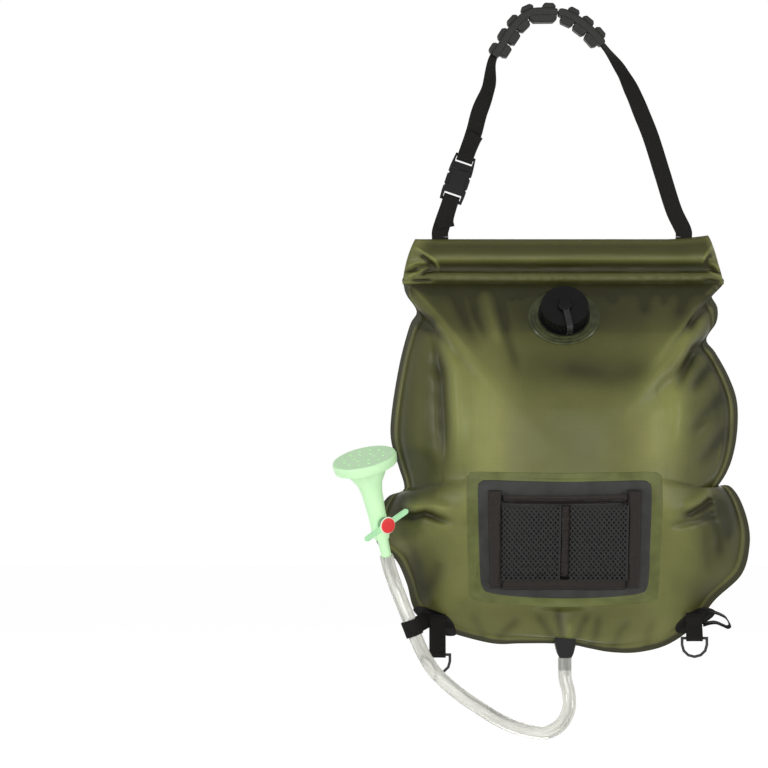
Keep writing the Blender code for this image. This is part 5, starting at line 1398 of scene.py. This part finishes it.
# Sections in millimetres: lugs and blocks as (share of their length, height), the band as (depth, height)
LUG_FORM = ((-0.5, 4.6), (-0.5, 7.4), (-0.32, 10.6), (0.32, 10.6), (0.5, 7.4), (0.5, 4.6))
BLOCK_FORM = ((-0.5, 4.2), (-0.5, 9.2), (-0.36, 13.4), (0.36, 13.4), (0.5, 9.2), (0.5, 4.2))
BAND_FORM = (
    (12.8, 3.2), (11.2, 4.9), (-11.2, 4.9), (-12.8, 3.2), (-12.8, -3.2), (-11.2, -4.9), (11.2, -4.9), (12.8, -3.2),
)


def place_on(line, distance):
    """Point of a line at a distance from its start, the line's direction there and the outward normal."""
    along = lengths_along(line)
    point = np.array([np.interp(distance, along, line[:, k]) for k in range(3)])
    k = int(np.clip(np.searchsorted(along, distance), 1, len(along) - 1)) - 1
    near = slice(max(k - 2, 0), min(k + 4, len(line)))
    forward = line[near][-1] - line[near][0]
    forward /= np.linalg.norm(forward)
    out = np.array((-forward[2], 0.0, forward[0]))
    return point, forward, out * (1 if out[2] > 0 else -1)


def grip_mesh(line, lugs, blocks):
    """A chamfered band along a line with lugs on its outside and blocks on its inside."""
    mesh = bmesh.new()
    length = np.linalg.norm(np.diff(line, axis=0), axis=1).sum()
    loops = []
    for distance in np.linspace(0, length, 26):
        point, _, out = place_on(line, distance)
        ends = 0.72 if distance in (0, length) else 1
        corners = [point + out * b * ends * MILLIMETRE + np.array((0, a * MILLIMETRE, 0)) for a, b in BAND_FORM]
        loops.append([mesh.verts.new(corner) for corner in corners])
    close_ends(mesh, loops)
    for side, form, deep, places in ((1, LUG_FORM, LUG_DEPTH, lugs), (-1, BLOCK_FORM, BLOCK_DEPTH, blocks)):
        for distance, long in places:
            point, forward, out = place_on(line, distance * MILLIMETRE)
            rims = []
            for depth, cut in ((-deep, 1.6), (-deep + 1.8, 0), (deep - 1.8, 0), (deep, 1.6)):
                rim = []
                for share, high in form:
                    high = max(high - cut, 4.0) if high > 5 else high
                    spread = share * (long - cut)
                    at = point + forward * spread * MILLIMETRE + out * side * high * MILLIMETRE
                    rim.append(mesh.verts.new(at + np.array((0, depth * MILLIMETRE, 0))))
                rims.append(rim)
            close_ends(mesh, rims)
    return outward(mesh)


class BAG_OT_grip(bpy.types.Operator):
    """Make the two rubber sleeves of the handle with their lugs and blocks"""
    bl_idname = "shower_bag.grip"
    bl_label = "Grip"

    def execute(self, context):
        surface = moulded("grip_rubber", (0.026, 0.026, 0.0235), 0.5)
        for node, places, lugs, blocks in GRIPS:
            line, _ = eased_line([(x * MILLIMETRE, 0.0, z * MILLIMETRE) for x, z in places], 0.002)
            sleeve = finish_mesh(node + "_moulded", grip_mesh(line, lugs, blocks), 35)
            edge = bevelled(sleeve, 0.0007)
            plain = bpy.data.meshes.new_from_object(sleeve.evaluated_get(bpy.context.evaluated_depsgraph_get()))
            sleeve.modifiers.remove(edge)
            sleeve.data = plain
            dress(sleeve, surface, "grip_rubber", node, body=body_of(node))
        return {"FINISHED"}


def bevelled(obj, width):
    """Soft edges on a piece."""
    edge = obj.modifiers.new("soft_edges", "BEVEL")
    edge.width = width
    edge.segments = 2
    edge.limit_method = "ANGLE"
    return edge


# Tether of the cap, as the straps are given
TETHER = (((0.98, 0.09, 0.15), (
    (20.0, -56.4, -344.5), (21.4, -61.0, -352.0), (23.4, -66.2, -361.5), (24.4, -67.0, -367.5),
    (24.4, -62.0, -372.5), (24.2, -51.4, -374.7))),)


class BAG_OT_tether(bpy.types.Operator):
    """Make the ribbed strip that ties the cap to its ring"""
    bl_idname = "shower_bag.tether"
    bl_label = "Cap tether"

    def execute(self, context):
        surface = moulded("tether_plastic", (0.020, 0.020, 0.020), 0.30)
        strip = finish_mesh("cap_tether_strip", strap_mesh(TETHER, 0.0072, 0.0012, 0.0008, RIBBED_SECTION), 50)
        dress(strip, surface, "black_plastic", "cap_tether", body=body_of("cap_tether"))
        return {"FINISHED"}


# Cream ring round the button: the button's middle and axis, radius of the ring and of its wire
RIM_MIDDLE = (-0.1919, -0.0611, -0.603)
RIM_AXIS = (0.539047, -0.829547, -0.145876)
RIM_RADIUS = 0.0095
RIM_WIRE = 0.0009


class BAG_OT_rim(bpy.types.Operator):
    """Make the cream rim round the red button"""
    bl_idname = "shower_bag.rim"
    bl_label = "Button rim"

    def execute(self, context):
        axis = Vector(RIM_AXIS)
        turn = axis.to_track_quat("Z", "Y").to_matrix()
        middle = Vector(RIM_MIDDLE) - axis * 0.001
        mesh = bmesh.new()
        loops = []
        for i in range(48):
            around = 2 * math.pi * i / 48
            out = Vector((math.cos(around), math.sin(around), 0))
            loop = []
            for k in range(10):
                turned = 2 * math.pi * k / 10
                reach = out * (RIM_RADIUS + RIM_WIRE * math.cos(turned))
                loop.append(mesh.verts.new(middle + turn @ (reach + Vector((0, 0, RIM_WIRE * math.sin(turned))))))
            loops.append(loop)
        bridge(mesh, loops + loops[:1])
        rim = finish_mesh("valve_button_rim", outward(mesh), 60)
        dress(rim, moulded("rim_plastic", (0.86, 0.92, 0.74), 0.3), "mint_plastic", body="valve")
        return {"FINISHED"}


class BAG_OT_moulded(bpy.types.Operator):
    """Give the buckle, cap, hood, rings, seals, shower head and lever their moulded finish and soft edges"""
    bl_idname = "shower_bag.moulded"
    bl_label = "Moulded pieces"

    def execute(self, context):
        for slot, finish, colour, roughness, edge, names in MOULDED:
            surface = moulded(finish, colour, roughness)
            for name in names:
                polished(name, surface, slot, edge)
        return {"FINISHED"}


def polished(name, surface, slot, edge, turn=34):
    """A smooth copy of a frame solid with softened edges, that stands in its place."""
    node = frame["nodes"][name]
    mesh = bmesh.new()
    mesh.from_mesh(node.data)
    mesh.transform(node.matrix_world)
    bmesh.ops.remove_doubles(mesh, verts=mesh.verts, dist=0.00001)
    bmesh.ops.dissolve_limit(mesh, angle_limit=math.radians(0.8), verts=mesh.verts, edges=mesh.edges)
    made = finish_mesh(name + "_finished", mesh, turn)
    soft = bevelled(made, edge)
    soft.angle_limit = math.radians(turn)
    soft.harden_normals = True
    dress(made, surface, slot, name, body=body_of(name))


# Hose

class HoseSettings(bpy.types.PropertyGroup):
    """Clear hose."""
    diameter: length("Diameter", "Outer diameter of the hose", 0.0165, 0.005)
    colour: tint("Colour", "Tint of the clear hose", (0.93, 0.93, 0.86))


def clear_hose_surface(name, colour):
    """Cloudy clear tube: partly see-through, with soft streaks along it and a wet gloss."""
    made, tree, shader = plain_material(name, colour, 0.12, Transmission_Weight=0.5, IOR=1.38, Coat_Weight=0.3)
    colour = np.array(colour)
    place = add(tree, "ShaderNodeUVMap", uv_map="weave").outputs["UV"]
    stretch = add(tree, "ShaderNodeMapping", Vector=place, Scale=(60, 5, 1)).outputs["Vector"]
    streaks = add(tree, "ShaderNodeTexNoise", Vector=stretch, Scale=1.6, Detail=3.0).outputs["Fac"]
    put(tree, shader, Normal=bump(tree, streaks, 0.2, 0.0004),
        Base_Color=ramp(tree, streaks, (0.34, colour * 0.5), (0.52, np.minimum(colour * 1.08, 1))))
    return made


class BAG_OT_hose(bpy.types.Operator):
    """Make the clear hose that hangs from the outlet's barb to the shower head"""
    bl_idname = "shower_bag.hose"
    bl_label = "Hose"

    def execute(self, context):
        values = props().hose
        line, _ = eased_line(HOSE_POINTS, 0.004)
        mesh = tube_mesh(line, values.diameter / 2, 28)
        hose = finish_mesh("hose_tube", mesh, 60)
        dress(hose, clear_hose_surface("clear_hose", values.colour), "clear_hose", "hose")
        return {"FINISHED"}


def tube_mesh(line, radius, sides):
    """A closed tube along a line, its UV map in metres."""
    side = np.array((0.0, 1.0, 0.0))
    turns = 2 * np.pi * np.arange(sides) / sides
    along = lengths_along(line)
    rows = []
    for i, point in enumerate(line):
        forward = direction(line, i)
        side = side - forward * side.dot(forward)
        side /= np.linalg.norm(side)
        other = np.cross(forward, side)
        rows.append([point + radius * (side * math.cos(t) + other * math.sin(t)) for t in turns])
    return wrapped(rows, lambda row, column: (column / sides * 2 * math.pi * radius, along[row]))


class BagSettings(bpy.types.PropertyGroup):
    """Every size and colour of the bag that a user would change."""
    stage: bpy.props.PointerProperty(type=StageSettings)
    body: bpy.props.PointerProperty(type=BodySettings)
    header: bpy.props.PointerProperty(type=HeaderSettings)
    straps: bpy.props.PointerProperty(type=StrapSettings)
    film: bpy.props.PointerProperty(type=FilmSettings)
    pocket: bpy.props.PointerProperty(type=PocketSettings)
    hose: bpy.props.PointerProperty(type=HoseSettings)


class BAG_PT_panel(bpy.types.Panel):
    """Lists the steps"""
    bl_idname = "BAG_PT_panel"
    bl_label = "Shower bag"
    bl_space_type = "VIEW_3D"
    bl_region_type = "UI"
    bl_category = "Shower bag"

    def draw(self, context):
        for step in STEPS:
            self.layout.operator(step.bl_idname)


STEPS = (
    BAG_OT_stage, BAG_OT_hose, BAG_OT_body, BAG_OT_header, BAG_OT_straps, BAG_OT_discs, BAG_OT_patches,
    BAG_OT_pocket, BAG_OT_grip, BAG_OT_tether, BAG_OT_rim, BAG_OT_moulded,
)
CLASSES = (
    StageSettings, BodySettings, HeaderSettings, StrapSettings, FilmSettings, PocketSettings, HoseSettings,
    BagSettings, *STEPS, BAG_PT_panel,
)


def register():
    for item in CLASSES:
        bpy.utils.register_class(item)
    bpy.types.Scene.shower_bag = bpy.props.PointerProperty(type=BagSettings)


def unregister():
    del bpy.types.Scene.shower_bag
    for item in reversed(CLASSES):
        bpy.utils.unregister_class(item)


def main():
    register()
    for step in STEPS:
        getattr(bpy.ops.shower_bag, step.bl_idname.split(".")[1])()


if __name__ == "__main__":
    main()
